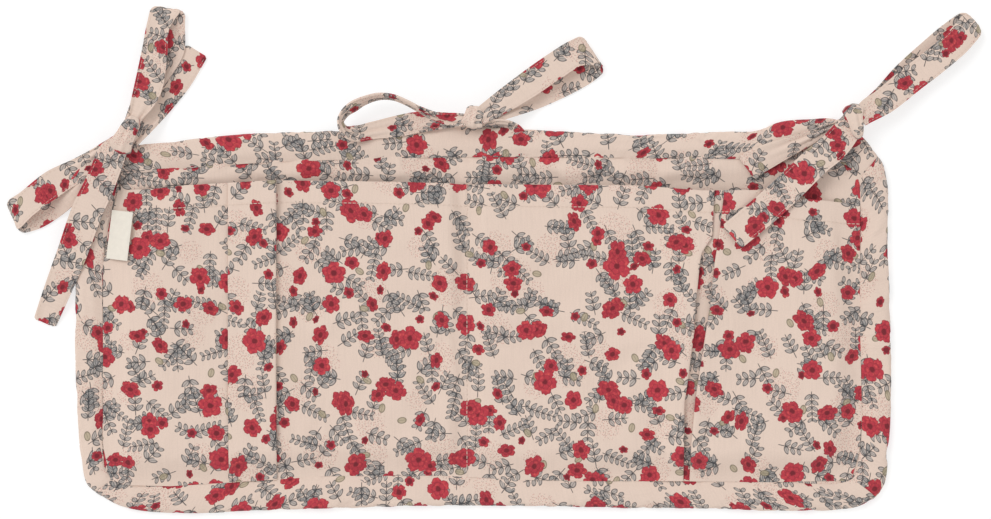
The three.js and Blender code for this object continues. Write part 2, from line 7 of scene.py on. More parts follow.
import bpy
import numpy as np
from bpy.props import FloatProperty, FloatVectorProperty, IntProperty, PointerProperty
from mathutils import Vector
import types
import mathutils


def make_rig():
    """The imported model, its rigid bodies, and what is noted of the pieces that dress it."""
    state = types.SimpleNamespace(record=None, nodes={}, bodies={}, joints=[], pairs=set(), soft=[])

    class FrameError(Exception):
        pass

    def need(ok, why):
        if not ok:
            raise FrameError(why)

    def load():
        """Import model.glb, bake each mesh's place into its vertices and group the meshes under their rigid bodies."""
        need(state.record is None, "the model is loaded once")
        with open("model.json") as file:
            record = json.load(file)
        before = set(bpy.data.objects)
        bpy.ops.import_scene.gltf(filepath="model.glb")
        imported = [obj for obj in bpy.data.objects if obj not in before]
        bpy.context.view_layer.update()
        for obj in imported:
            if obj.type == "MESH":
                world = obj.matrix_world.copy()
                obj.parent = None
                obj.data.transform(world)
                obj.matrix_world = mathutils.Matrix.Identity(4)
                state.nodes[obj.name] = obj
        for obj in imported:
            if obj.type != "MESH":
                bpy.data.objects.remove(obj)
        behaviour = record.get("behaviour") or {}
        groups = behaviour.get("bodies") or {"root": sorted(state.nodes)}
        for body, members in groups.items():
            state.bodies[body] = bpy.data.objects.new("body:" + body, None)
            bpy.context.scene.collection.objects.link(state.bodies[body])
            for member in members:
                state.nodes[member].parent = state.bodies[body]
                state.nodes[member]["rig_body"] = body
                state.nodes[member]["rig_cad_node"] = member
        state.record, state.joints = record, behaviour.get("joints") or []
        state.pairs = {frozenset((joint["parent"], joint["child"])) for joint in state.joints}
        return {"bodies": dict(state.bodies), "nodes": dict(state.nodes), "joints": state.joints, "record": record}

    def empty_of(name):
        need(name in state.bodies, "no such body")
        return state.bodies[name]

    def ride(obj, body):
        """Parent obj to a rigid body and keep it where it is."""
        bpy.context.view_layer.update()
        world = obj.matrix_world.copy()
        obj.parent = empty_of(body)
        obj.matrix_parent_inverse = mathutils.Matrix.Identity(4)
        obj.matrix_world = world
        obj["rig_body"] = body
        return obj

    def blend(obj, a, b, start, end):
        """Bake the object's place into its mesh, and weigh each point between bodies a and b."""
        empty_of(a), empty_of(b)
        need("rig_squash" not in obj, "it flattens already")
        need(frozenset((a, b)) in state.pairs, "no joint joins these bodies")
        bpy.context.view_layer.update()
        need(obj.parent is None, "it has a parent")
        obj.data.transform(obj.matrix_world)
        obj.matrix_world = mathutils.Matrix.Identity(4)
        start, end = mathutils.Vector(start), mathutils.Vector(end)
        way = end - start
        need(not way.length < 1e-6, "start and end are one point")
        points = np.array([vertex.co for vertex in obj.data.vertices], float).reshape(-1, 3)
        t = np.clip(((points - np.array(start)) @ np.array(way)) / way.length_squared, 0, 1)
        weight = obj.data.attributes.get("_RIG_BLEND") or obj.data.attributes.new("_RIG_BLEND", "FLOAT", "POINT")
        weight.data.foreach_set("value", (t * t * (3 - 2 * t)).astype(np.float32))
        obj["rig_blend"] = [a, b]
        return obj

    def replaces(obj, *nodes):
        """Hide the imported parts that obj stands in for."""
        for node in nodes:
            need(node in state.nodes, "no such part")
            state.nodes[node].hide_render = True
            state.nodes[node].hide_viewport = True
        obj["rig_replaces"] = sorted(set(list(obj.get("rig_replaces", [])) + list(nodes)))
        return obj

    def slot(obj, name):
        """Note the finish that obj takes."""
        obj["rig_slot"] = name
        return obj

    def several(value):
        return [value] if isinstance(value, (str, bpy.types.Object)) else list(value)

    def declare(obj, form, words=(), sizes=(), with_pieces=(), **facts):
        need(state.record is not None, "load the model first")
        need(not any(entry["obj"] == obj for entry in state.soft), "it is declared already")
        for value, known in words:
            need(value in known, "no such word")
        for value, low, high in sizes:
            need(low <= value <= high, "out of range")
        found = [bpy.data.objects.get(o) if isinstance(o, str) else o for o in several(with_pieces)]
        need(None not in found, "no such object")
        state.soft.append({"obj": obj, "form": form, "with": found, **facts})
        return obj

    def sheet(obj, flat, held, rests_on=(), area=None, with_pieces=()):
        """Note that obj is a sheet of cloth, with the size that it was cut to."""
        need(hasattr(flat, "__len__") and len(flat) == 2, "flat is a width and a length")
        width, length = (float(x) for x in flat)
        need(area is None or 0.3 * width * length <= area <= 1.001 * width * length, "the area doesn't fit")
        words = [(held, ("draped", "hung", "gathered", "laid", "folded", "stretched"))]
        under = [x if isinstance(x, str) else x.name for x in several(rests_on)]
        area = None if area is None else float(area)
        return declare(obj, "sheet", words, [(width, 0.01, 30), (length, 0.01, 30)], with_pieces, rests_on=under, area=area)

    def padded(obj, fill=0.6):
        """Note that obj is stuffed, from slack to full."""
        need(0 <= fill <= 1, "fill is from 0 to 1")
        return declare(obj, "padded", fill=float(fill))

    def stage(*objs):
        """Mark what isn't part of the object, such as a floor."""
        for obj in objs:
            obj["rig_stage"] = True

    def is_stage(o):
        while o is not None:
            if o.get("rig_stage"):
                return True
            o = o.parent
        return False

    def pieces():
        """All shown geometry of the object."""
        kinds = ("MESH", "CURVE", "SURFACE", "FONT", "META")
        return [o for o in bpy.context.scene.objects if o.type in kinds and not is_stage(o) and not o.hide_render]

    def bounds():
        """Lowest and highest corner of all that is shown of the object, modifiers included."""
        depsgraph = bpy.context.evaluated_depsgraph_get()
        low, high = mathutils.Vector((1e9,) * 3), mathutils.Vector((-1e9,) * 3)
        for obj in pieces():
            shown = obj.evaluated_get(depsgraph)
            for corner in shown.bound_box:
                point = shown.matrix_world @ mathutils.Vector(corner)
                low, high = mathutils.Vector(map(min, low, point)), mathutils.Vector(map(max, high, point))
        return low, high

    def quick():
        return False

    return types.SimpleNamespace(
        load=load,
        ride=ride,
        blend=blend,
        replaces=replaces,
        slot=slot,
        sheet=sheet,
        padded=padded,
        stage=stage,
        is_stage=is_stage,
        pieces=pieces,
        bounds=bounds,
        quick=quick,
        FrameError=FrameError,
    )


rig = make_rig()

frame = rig.load()
frame_low, frame_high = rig.bounds()

bl_info = {
    "name": "Bedside Caddy",
    "version": (1, 0, 0),
    "blender": (4, 5, 0),
    "location": "3D View > Sidebar > Caddy",
    "description": "Builds a padded cotton bedside caddy with pockets and tape ties",
    "category": "Object",
}

MM = 0.001
PANEL = "panel"
LABEL = "label"

# The photograph's pixels, and where the panel stands in them
IMAGE = (991, 519)
PANEL_PIXELS = {"left": 75.5, "right": 890.5, "top": 131.5, "bottom": 511.5}
MIDDLE_PIXEL = (495.6, 259.1)
PANEL_SIZE = (600.0, 280.0)
ACROSS = PANEL_SIZE[0] / (PANEL_PIXELS["right"] - PANEL_PIXELS["left"])
UPWARD = PANEL_SIZE[1] / (PANEL_PIXELS["bottom"] - PANEL_PIXELS["top"])


def across(px):
    """Where a column of pixels lies, in millimetres."""
    return (np.asarray(px, float) - MIDDLE_PIXEL[0]) * ACROSS


def up(py):
    """Where a row of pixels lies, in millimetres."""
    return (MIDDLE_PIXEL[1] - np.asarray(py, float)) * UPWARD


def column_of(x):
    return MIDDLE_PIXEL[0] + x / ACROSS


def row_of(y):
    return MIDDLE_PIXEL[1] - y / UPWARD


def place(pixels):
    """Where pixels lie, as pairs in millimetres."""
    pixels = np.asarray(pixels, float)
    return np.stack([across(pixels[..., 0]), up(pixels[..., 1])], -1)


# Outer edge of the panel, clockwise from the top left corner
EDGE_PIXELS = [
    (104, 147), (141, 145), (204, 138.6), (248, 135), (333, 132), (430, 129.2), (446, 127.6),
    (476, 127.2), (507, 128), (524, 130), (640, 135), (730, 132), (756, 130.6), (781, 122.4),
    (808, 120), (835, 120), (860, 136), (876, 154.5), (885, 168), (888.5, 260), (889.6, 300),
    (890.6, 399), (887.7, 448), (882.7, 488), (865, 503.6), (837, 508.6), (778, 510),
    (699, 507.6), (620, 507), (477, 504.7), (330, 507.5), (180, 512), (137.5, 509),
    (111.7, 501.5), (94.4, 491), (85.8, 481), (79, 438), (76.4, 386), (75.5, 334),
    (76.5, 263), (84, 210), (93, 172), (97, 155),
]

# Inner seams of the top band and the borders, the same way round
SEAM_PIXELS = [
    (119, 176), (148, 172), (248, 163.6), (333, 160), (481, 157), (640, 158), (736, 159),
    (800, 160), (846, 165), (858, 178), (860.5, 206), (860, 320), (862, 418), (859, 458),
    (852, 479), (770, 482), (685, 481), (600, 481), (516, 479.6), (443, 475.5), (326, 476),
    (227, 482.5), (170, 486), (125, 485), (106.5, 472), (103, 455), (103, 360), (103, 263),
    (111.8, 209.8), (116, 188),
]

# Mitred ends of the strips: inner corner, outer corner
MITRE_PIXELS = {
    "top_left": [(118, 177), (96, 148)],
    "top_right": [(856, 181), (880, 155)],
    "bottom_right": [(853, 478), (878, 499)],
    "bottom_left": [(112, 479), (90, 499)],
}
STRIPS = {
    "top_band": ("top_left", "top_right"),
    "right_binding": ("top_right", "bottom_right"),
    "bottom_binding": ("bottom_right", "bottom_left"),
    "left_binding": ("bottom_left", "top_left"),
}

# Seams and folds of the pocket row
POCKET_TOP_PIXELS = [
    (95, 191), (118, 190.5), (148, 189.5), (204, 186), (274, 182), (407, 183), (468, 184.8),
    (640, 187), (700, 192), (756, 191.6), (797, 200), (857, 204), (870, 205),
]
POCKET_FOOT_PIXELS = [
    (95, 470), (103, 470), (110, 480), (125, 485), (170, 486), (227, 482.5), (326, 476),
    (443, 475.5), (516, 479.6), (600, 481), (685, 481), (770, 482), (846, 480.5), (854, 476),
    (870, 470),
]
BAND_SEAM_PIXELS = [
    (95, 178), (119, 176), (148, 172), (248, 163.6), (333, 160), (481, 157), (640, 158),
    (736, 159), (800, 160), (846, 165), (870, 172),
]
LEFT_SEAM_PIXELS = [
    (150, 120), (185, 118), (209.8, 111.8), (263, 103), (455, 103), (486, 112),
]
RIGHT_SEAM_PIXELS = [
    (150, 857), (185, 860), (320, 860), (418, 862), (458, 859), (486, 851),
]
POCKET_ROW_PIXELS = (481, 185)
INTERIOR_PIXELS = (486, 178)
BAND_LOW_PIXEL = 157
CENTRE_SEAM_PIXEL = 467
BOX_PLEAT_PIXELS = (229.5, 277)
INNER_FOLD_PIXELS = [
    (190, 713), (232, 711), (248, 700.5), (259, 698.6), (303, 694.5), (329, 693), (368, 688),
    (400, 683.6), (490, 683),
]
OUTER_FOLD_PIXELS = [
    (190, 723), (233, 718), (257, 714), (303, 709), (329, 705), (368, 699), (395, 695),
    (438, 691), (490, 689.5),
]

# Heights of the layers above the surface, in millimetres
BACK_LEVEL = 1.2
LINING_LEVEL = 4.7
SEAM_LEVEL = 5.4
KNOT_HEIGHT = 12.0
KNOT_LEVEL = 14.2
KNOT_STEP = 3.0
ON_FLOOR = 0.8
OVER_END = 2.4
ON_PANEL = 7.1
OVER_PANEL = 9.5
ON_PLEAT = 17.2
LOOP_LIFT = 9.0
LOOP_TOP = LOOP_LIFT + ON_FLOOR
UNDER_BAND = 5.8
CAUGHT_LIFT = 1.7
CAUGHT_PIXELS = (120, 149)
KNOT_LOW = KNOT_LEVEL - KNOT_STEP
KNOT_HIGH = KNOT_LEVEL + KNOT_STEP


class CaddySettings(bpy.types.PropertyGroup):
    """Sizes and colours of the caddy."""

    ground: FloatVectorProperty(
        name="Ground", description="Colour of the cotton between its motifs",
        subtype="COLOR", size=3, min=0, max=1, default=(0.815, 0.650, 0.552),
    )
    flower: FloatVectorProperty(
        name="Flower", description="Colour of the printed flowers",
        subtype="COLOR", size=3, min=0, max=1, default=(0.480, 0.045, 0.066),
    )
    flower_light: FloatVectorProperty(
        name="Light flower", description="Colour of the lighter parts of the printed flowers",
        subtype="COLOR", size=3, min=0, max=1, default=(0.640, 0.085, 0.085),
    )
    flower_ink: FloatVectorProperty(
        name="Flower ink", description="Colour of the lines in the flowers",
        subtype="COLOR", size=3, min=0, max=1, default=(0.150, 0.018, 0.026),
    )
    leaf: FloatVectorProperty(
        name="Leaf", description="Colour inside the printed leaves",
        subtype="COLOR", size=3, min=0, max=1, default=(0.345, 0.332, 0.322),
    )
    leaf_ink: FloatVectorProperty(
        name="Leaf ink", description="Colour of the lines of the leaves",
        subtype="COLOR", size=3, min=0, max=1, default=(0.036, 0.040, 0.047),
    )
    berry: FloatVectorProperty(
        name="Berry", description="Colour of the small printed berries",
        subtype="COLOR", size=3, min=0, max=1, default=(0.420, 0.355, 0.240),
    )
    backing: FloatVectorProperty(
        name="Backing", description="Colour of the plain cotton behind",
        subtype="COLOR", size=3, min=0, max=1, default=(0.80, 0.62, 0.52),
    )
    thread: FloatVectorProperty(
        name="Thread", description="Colour of the sewing thread",
        subtype="COLOR", size=3, min=0, max=1, default=(0.83, 0.68, 0.58),
    )
    satin: FloatVectorProperty(
        name="Label", description="Colour of the bare woven label",
        subtype="COLOR", size=3, min=0, max=1, default=(0.84, 0.785, 0.69),
    )
    flower_radius: FloatProperty(
        name="Flower radius", description="Radius of the largest flowers, in millimetres",
        min=3, max=20, default=8.8,
    )
    weave: FloatProperty(
        name="Weave", description="Distance from thread to thread, in millimetres",
        min=0.2, max=2, default=0.55,
    )
    cloth: FloatProperty(
        name="Cloth thickness", description="Thickness of one cotton, in millimetres",
        min=0.3, max=1.5, default=0.6,
    )
    pocket_room: FloatProperty(
        name="Pocket room", description="Height of the pockets over the lining, in millimetres",
        min=0, max=20, default=7.0,
    )
    pocket_slope: FloatProperty(
        name="Pocket slope", description="Distance from a seam to full height, in millimetres",
        min=5, max=60, default=24,
    )
    seam_slope: FloatProperty(
        name="Centre seam slope", description="Width of the slope to the centre seam, in millimetres",
        min=3, max=60, default=15,
    )
    seam_depth: FloatProperty(
        name="Centre seam depth", description="How far the centre seam draws the cloth down",
        min=0, max=1, default=0.5,
    )
    pleat_puff: FloatProperty(
        name="Pleat puff", description="Extra layers of height where a pleat's fold stands up",
        min=0, max=4, default=1.7,
    )
    pleat_tuck: FloatProperty(
        name="Pleat tuck", description="Depth of cloth folded under a pleat, in millimetres",
        min=3, max=30, default=11,
    )
    pleat_pitch: FloatProperty(
        name="Pleat pitch", description="Height from layer to layer in a pleat, in millimetres",
        min=0.7, max=3, default=1.15,
    )
    hem: FloatProperty(
        name="Hem", description="Depth of the pockets' hem, in millimetres",
        min=5, max=40, default=16.5,
    )
    tape_width: FloatProperty(
        name="Tie width", description="Full width of the tape ties, in millimetres",
        min=8, max=40, default=20,
    )
    tape: FloatProperty(
        name="Tie thickness", description="Thickness of the folded tape, in millimetres",
        min=0.5, max=3, default=1.3,
    )
    bend_reach: FloatProperty(
        name="Tie bend", description="How far past its knot a tape bends as it lifts, in millimetres",
        min=2, max=40, default=16,
    )
    stitch: FloatProperty(
        name="Stitch", description="Length of a stitch, in millimetres",
        min=1, max=8, default=2.7,
    )
    lamp: FloatProperty(
        name="Lamp", description="Strength of the lamp at the upper left",
        min=0, max=10, default=0.95,
    )
    sky: FloatProperty(
        name="Sky", description="Strength of the even light from all round",
        min=0, max=3, default=0.80,
    )
    samples_along: IntProperty(
        name="Pocket columns", description="Grid columns over the plain stretches of the pockets",
        min=20, max=600, default=60,
    )


# Smooth noise and curves
SPAN_POINTS = 24


def bumps(x, y, seed):
    """Smooth random heights from -1 to 1, one apart."""
    left, low = np.floor(x), np.floor(y)
    tx, ty = x - left, y - low
    tx, ty = tx * tx * (3 - 2 * tx), ty * ty * (3 - 2 * ty)

    def corner(i, j):
        wild = np.sin((left + i) * 127.1 + (low + j) * 311.7 + seed * 74.7) * 43758.5453
        return wild - np.floor(wild)

    lower = corner(0, 0) * (1 - tx) + corner(1, 0) * tx
    upper = corner(0, 1) * (1 - tx) + corner(1, 1) * tx
    return 2 * (lower * (1 - ty) + upper * ty) - 1


def creases(x, y, seed):
    """Bumps with smaller ones on them."""
    return bumps(x, y, seed) + 0.5 * bumps(2.1 * x, 2.1 * y, seed + 1)


def smooth(t):
    """From 0 to 1 with level ends."""
    t = np.clip(t, 0, 1)
    return t * t * (3 - 2 * t)


def read(table, key):
    """The value that a table of keys and values gives between its rows."""
    keys, values = np.asarray(table, float).T
    return np.interp(key, keys, values)


def run_of(points):
    """How far along a line each of its points is."""
    steps = np.linalg.norm(np.diff(points, axis=0), axis=1)
    return np.concatenate([[0], np.cumsum(steps)])


def unit(vectors, least=1e-9):
    """The vectors at length one, or shorter where they are below the least length."""
    return vectors / np.maximum(np.linalg.norm(vectors, axis=-1, keepdims=True), least)


def even(points, count, space=3):
    """The same line with evenly spaced points."""
    run = run_of(points[:, :space])
    wanted = np.linspace(0, run[-1], count)
    return np.stack([np.interp(wanted, run, column) for column in points.T], 1)


def smooth_line(points, closed=False, space=3):
    """A smooth line through points, whose first columns are places."""
    p = np.asarray(points, float)
    if closed:
        p = np.vstack([p[-1:], p, p[:2]])
    else:
        p = np.vstack([2 * p[0] - p[1], p, 2 * p[-1] - p[-2]])
    spans = []
    for a, b, c, d in zip(p, p[1:], p[2:], p[3:]):
        knots = [0.0]
        for one, next_one in ((a, b), (b, c), (c, d)):
            gap = np.linalg.norm(next_one[:space] - one[:space])
            knots.append(knots[-1] + math.sqrt(max(gap, 1e-6)))
        t0, t1, t2, t3 = knots
        t = np.linspace(t1, t2, SPAN_POINTS, endpoint=False)[:, None]
        ab = ((t1 - t) * a + (t - t0) * b) / (t1 - t0)
        bc = ((t2 - t) * b + (t - t1) * c) / (t2 - t1)
        cd = ((t3 - t) * c + (t - t2) * d) / (t3 - t2)
        abc = ((t2 - t) * ab + (t - t0) * bc) / (t2 - t0)
        bcd = ((t3 - t) * bc + (t - t1) * cd) / (t3 - t1)
        spans.append(((t2 - t) * abc + (t - t1) * bcd) / (t2 - t1))
    if not closed:
        spans.append(p[-2:-1])
    return np.vstack(spans)


# Meshes
SHARP_ANGLE = 62


def cut_of(places):
    """The flat size and the area of the cloth that lies at these places, in metres."""
    low, high = places.min((0, 1)), places.max((0, 1))
    corners = [places[:-1, :-1], places[:-1, 1:], places[1:, 1:], places[1:, :-1]]
    first, second = corners[2] - corners[0], corners[3] - corners[1]
    area = np.abs(first[..., 0] * second[..., 1] - first[..., 1] * second[..., 0]).sum() / 2
    wide, long = (high - low) * MM
    return {"flat": (float(wide), float(long)), "area": float(area * MM * MM)}


def attach(piece, body):
    """The piece rides on its body. A tape's root stays in its knot, and bends past its joint."""
    joint = next((row for row in frame["joints"] if row["child"] == body), None)
    if joint is None or body == LABEL:
        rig.ride(piece, body)
        return
    pivot = np.array(joint["pos_m"])
    away = np.cross(joint["axis"], (0, 0, 1))
    middle = np.mean([vertex.co for vertex in piece.data.vertices], axis=0)
    away = away * np.sign(away @ (middle - pivot)) * bpy.context.scene.caddy.bend_reach * MM
    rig.blend(piece, PANEL, body, start=pivot, end=pivot + away)


def linked(name, data):
    """An object of the scene with this data."""
    thing = bpy.data.objects.new(name, data)
    bpy.context.scene.collection.objects.link(thing)
    return thing


def mesh_object(name, points, faces, cloth, material, body=PANEL):
    """A piece from points and cloth places in millimetres, riding on a body."""
    mesh = bpy.data.meshes.new(name)
    mesh.from_pydata((points * MM).tolist(), [], faces)
    printed = mesh.attributes.new("cloth", "FLOAT_VECTOR", "POINT")
    printed.data.foreach_set("vector", np.asarray(cloth, np.float32).ravel())
    mesh.materials.append(material)
    mesh.validate()
    mesh.shade_smooth()
    mesh.set_sharp_from_angle(angle=math.radians(SHARP_ANGLE))
    piece = linked(name, mesh)
    attach(piece, body)
    return piece


def grid_quads(rows, columns, first=0, wrap=False):
    """The faces of a grid of points, row by row, closed across its columns where it wraps."""
    i = np.arange(columns if wrap else columns - 1)
    j = np.arange(rows - 1)[:, None]
    here = first + j * columns + i
    beside = first + j * columns + (i + 1) % columns
    return np.stack([here, beside, beside + columns, here + columns], -1).reshape(-1, 4)


def grid_normals(grid):
    """The direction out of a cloth at each point of its grid."""
    along = np.gradient(grid, axis=1)
    upward = np.gradient(grid, axis=0)
    return unit(np.cross(along, upward))


def cloth_piece(name, grid, places, thickness, material, body=PANEL):
    """A closed sheet of cloth from the grid of its middle surface, with a rim joining its two faces."""
    rows, columns = grid.shape[:2]
    half = grid_normals(grid) * thickness / 2
    above, below = (grid + half).reshape(-1, 3), (grid - half).reshape(-1, 3)
    count = rows * columns
    top = grid_quads(rows, columns)
    bottom = grid_quads(rows, columns, count)[:, ::-1]
    ring = np.concatenate([
        np.arange(columns),
        np.arange(1, rows) * columns + columns - 1,
        (rows - 1) * columns + np.arange(columns - 2, -1, -1),
        np.arange(rows - 2, 0, -1) * columns,
    ])
    onward = np.roll(ring, -1)
    rim = np.stack([ring, ring + count, onward + count, onward], 1)
    cloth = np.zeros((rows, columns, 3))
    cloth[..., :2] = places
    cloth = cloth.reshape(-1, 3)
    faces = np.vstack([top, bottom, rim]).tolist()
    return mesh_object(
        name, np.vstack([above, below]), faces, np.vstack([cloth, cloth]), material, body
    )


def sampled(field, upward, along):
    """What a field holds at shares from 0 to 1 of its rows and of its columns."""
    rows, columns = field.shape[:2]
    v = np.clip(upward, 0, 1) * (rows - 1)
    u = np.clip(along, 0, 1) * (columns - 1)
    j = np.minimum(v.astype(int), rows - 2)
    i = np.minimum(u.astype(int), columns - 2)
    v, u = (v - j)[..., None], (u - i)[..., None]
    lower = field[j, i] * (1 - u) + field[j, i + 1] * u
    upper = field[j + 1, i] * (1 - u) + field[j + 1, i + 1] * u
    return lower * (1 - v) + upper * v


# How each cloth settles: how much larger it is cut, how far it may move and how stiff it is
SETTLING = {
    "pocket": (0.008, 2.0, 2.0),
    "lining": (0.03, 1.3, 0.5),
    "binding": (0.02, 0.7, 0.5),
}
SETTLING_FRAMES = 12
SETTLING_QUALITY = 6
CLOTH_MASS = 0.01


def settled(kind, grid, held):
    """The grid once its cloth, cut a little larger than its place, has settled between its seams.
    Held is 1 where the cloth is sewn down."""
    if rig.quick():
        return grid
    growth, room, bending = SETTLING[kind]
    scene = bpy.context.scene
    mesh = bpy.data.meshes.new(f"{kind}_trial")
    mesh.from_pydata((grid.reshape(-1, 3) * MM).tolist(), [], grid_quads(*grid.shape[:2]).tolist())
    sheet = linked(f"{kind}_trial", mesh)
    seams = sheet.vertex_groups.new(name="seams")
    seams.add(np.flatnonzero(held).tolist(), 1.0, "REPLACE")
    cloth = sheet.modifiers.new("cloth", "CLOTH").settings
    cloth.vertex_group_mass = "seams"
    cloth.quality = SETTLING_QUALITY
    cloth.mass = CLOTH_MASS
    cloth.bending_stiffness = bending
    cloth.shrink_min = -growth
    cloth.effector_weights.gravity = 0
    for number in range(1, SETTLING_FRAMES + 1):
        scene.frame_set(number)
    seen = sheet.evaluated_get(bpy.context.evaluated_depsgraph_get())
    places = np.empty(grid.size, np.float32)
    seen.data.vertices.foreach_get("co", places)
    moved = places.reshape(grid.shape) / MM - grid
    bpy.data.objects.remove(sheet)
    bpy.data.meshes.remove(mesh)
    scene.frame_set(1)
    reach = np.linalg.norm(moved, axis=2, keepdims=True)
    return grid + moved * np.minimum(1, room / np.maximum(reach, 1e-9))


# Each stitch from end to end: where its rings are, how high they lie and how thick they are
STITCH_SHARES = np.array([-0.5, -0.3, 0.0, 0.3, 0.5])
STITCH_LIFTS = np.array([-0.12, 0.1, 0.16, 0.1, -0.12])
THICKNESS_SHARES = np.array([0.55, 1.0, 1.0, 1.0, 0.55])
STITCH_PITCH_SHARE = 1.22
THREAD_RADIUS = 0.26
TIE_THREAD_RADIUS = 0.12
THREAD_SIDES = 6


def stitch_row(name, line, normals, body=PANEL, radius=THREAD_RADIUS):
    """A row of stitches along a line on a cloth, each a short thread that dips at its ends."""
    length = bpy.context.scene.caddy.stitch
    run = run_of(line)
    count = max(int(run[-1] / (length * STITCH_PITCH_SHARE)), 1)
    starts = (np.arange(count) + 0.5) * run[-1] / count
    sizes = THICKNESS_SHARES * radius
    at = (starts[:, None] + STITCH_SHARES * length).clip(0, run[-1])
    centre = np.stack([np.interp(at, run, line[:, k]) for k in range(3)], -1)
    out = unit(np.stack([np.interp(at, run, normals[:, k]) for k in range(3)], -1))
    centre = centre + out * STITCH_LIFTS[:, None]
    side = np.cross(unit(np.gradient(centre, axis=1)), out)
    angles = np.linspace(0, 2 * np.pi, THREAD_SIDES, endpoint=False)
    ring = (
        side[:, :, None, :] * np.cos(angles)[None, None, :, None]
        + out[:, :, None, :] * np.sin(angles)[None, None, :, None]
    ) * sizes[None, :, None, None]
    points = (centre[:, :, None, :] + ring).reshape(-1, 3)
    rings = len(STITCH_SHARES)
    around = np.arange(THREAD_SIDES)
    faces = []
    for first in range(0, len(points), rings * THREAD_SIDES):
        faces += grid_quads(rings, THREAD_SIDES, first, wrap=True).tolist()
        faces.append((first + around[::-1]).tolist())
        faces.append((first + (rings - 1) * THREAD_SIDES + around).tolist())
    mesh = bpy.data.meshes.new(name)
    mesh.from_pydata((points * MM).tolist(), [], faces)
    mesh.materials.append(finish_of("sewing_thread"))
    mesh.shade_smooth()
    attach(linked(name, mesh), body)


# Materials
class Reading:
    """What a socket gives. Sums written on it add Math nodes."""

    def __init__(self, recipe, socket):
        self.recipe = recipe
        self.socket = socket

    def other(self, output):
        return Reading(self.recipe, self.socket.node.outputs[output])

    def math(self, operation, *others):
        """One Math node on this value."""
        return self.recipe.node("Math", {"operation": operation}, [self, *others])

    def __add__(self, other):
        return self.math("ADD", other)

    __radd__ = __add__

    def __sub__(self, other):
        return self.math("SUBTRACT", other)

    def __rsub__(self, other):
        return self.recipe.node("Math", {"operation": "SUBTRACT"}, [other, self])

    def __mul__(self, other):
        return self.math("MULTIPLY", other)

    __rmul__ = __mul__

    def __truediv__(self, other):
        return self.math("DIVIDE", other)

    def __abs__(self):
        return self.math("ABSOLUTE")

    def clamped(self):
        return self.recipe.node("Clamp", None, [self])


class Recipe:
    """A material made of nodes."""

    def __init__(self, name):
        self.material = bpy.data.materials.new(name)
        self.material.use_nodes = True
        self.tree = self.material.node_tree
        self.tree.nodes.clear()

    def node(self, kind, settings=None, inputs=(), output=0):
        """A node of this kind, with its settings first and then its values and links."""
        made = self.tree.nodes.new("ShaderNode" + kind)
        for key, value in (settings or {}).items():
            setattr(made, key, value)
        pairs = inputs.items() if isinstance(inputs, dict) else enumerate(inputs)
        for key, value in pairs:
            if isinstance(value, Reading):
                self.tree.links.new(value.socket, made.inputs[key])
            else:
                made.inputs[key].default_value = value
        return Reading(self, made.outputs[output])

    def vector(self, operation, *inputs):
        return self.node("VectorMath", {"operation": operation}, inputs)

    def scaled(self, vector, factor):
        return self.node("VectorMath", {"operation": "SCALE"}, {0: vector, "Scale": factor})

    def noise(self, vector, scale, detail):
        """Smooth noise from 0 to 1 over a flat cloth."""
        inputs = {"Vector": vector, "Scale": scale, "Detail": detail}
        return self.node("TexNoise", {"noise_dimensions": "2D"}, inputs)

    def mixed(self, factor, first, second):
        """One colour laid over another."""
        inputs = {0: factor, 6: first, 7: second}
        return self.node("Mix", {"data_type": "RGBA"}, inputs, 2)

    def finish(self, colour, bump, distance, **constants):
        """The material of a cloth or a thread."""
        normal = self.node("Bump", None, {"Height": bump, "Distance": distance, "Strength": 1.0})
        surface = self.node(
            "BsdfPrincipled", None, {"Base Color": colour, "Normal": normal, **constants}
        )
        return self.shown(surface)

    def shown(self, surface):
        out = self.tree.nodes.new("ShaderNodeOutputMaterial")
        self.tree.links.new(surface.socket, out.inputs["Surface"])
        return self.material


# Depth of each relief and turns of the thread's twist to a metre, and the weaves in millimetres
PRINT_RELIEF = 0.00006
COTTON_RELIEF = 0.00005
THREAD_RELIEF = 0.00003
FLEECE_RELIEF = 0.0004
THREAD_TURNS = 14000.0
SATIN_WEAVE = 0.35
FLEECE_WEAVE = 1.6
FLEECE_COLOUR = (0.86, 0.84, 0.8)
LEAF_ANGLE = 50
MOTIF_WILDNESS = 0.72
DOT_WILDNESS = 1.0
DOT_RED = (0.52, 0.14, 0.12)
DOT_GREY = (0.30, 0.22, 0.19)


def rgba(colour, share=1.0):
    """A colour for a socket, darker or lighter by a share."""
    return (*(part * share for part in colour), 1.0)


def cloth_place(recipe):
    """Where a point lies on its cloth, in millimetres."""
    return recipe.node("Attribute", {"attribute_name": "cloth"}, (), "Vector")


def scattered(recipe, cloth, spacing, shift, wildness=MOTIF_WILDNESS):
    """Motifs scattered over the cloth: places about the nearest one, and its random numbers."""
    moved = recipe.vector("ADD", recipe.scaled(cloth, 1 / spacing), (*shift, 0.0))
    settings = {"voronoi_dimensions": "2D", "feature": "F1"}
    cell = recipe.node(
        "TexVoronoi", settings, {"Vector": moved, "Scale": 1.0, "Randomness": wildness}
    )
    away = recipe.vector("SUBTRACT", moved, cell.other("Position"))
    parts = recipe.node("SeparateXYZ", None, [recipe.scaled(away, spacing)])
    chance = recipe.node("SeparateColor", None, [cell.other("Color")])
    return parts, parts.other(1), chance, chance.other(1), chance.other(2)


def turned(x, y, turn):
    """Places turned by a random number of turns."""
    angle = turn * (2 * math.pi)
    cosine, sine = angle.math("COSINE"), angle.math("SINE")
    return x * cosine - y * sine, x * sine + y * cosine


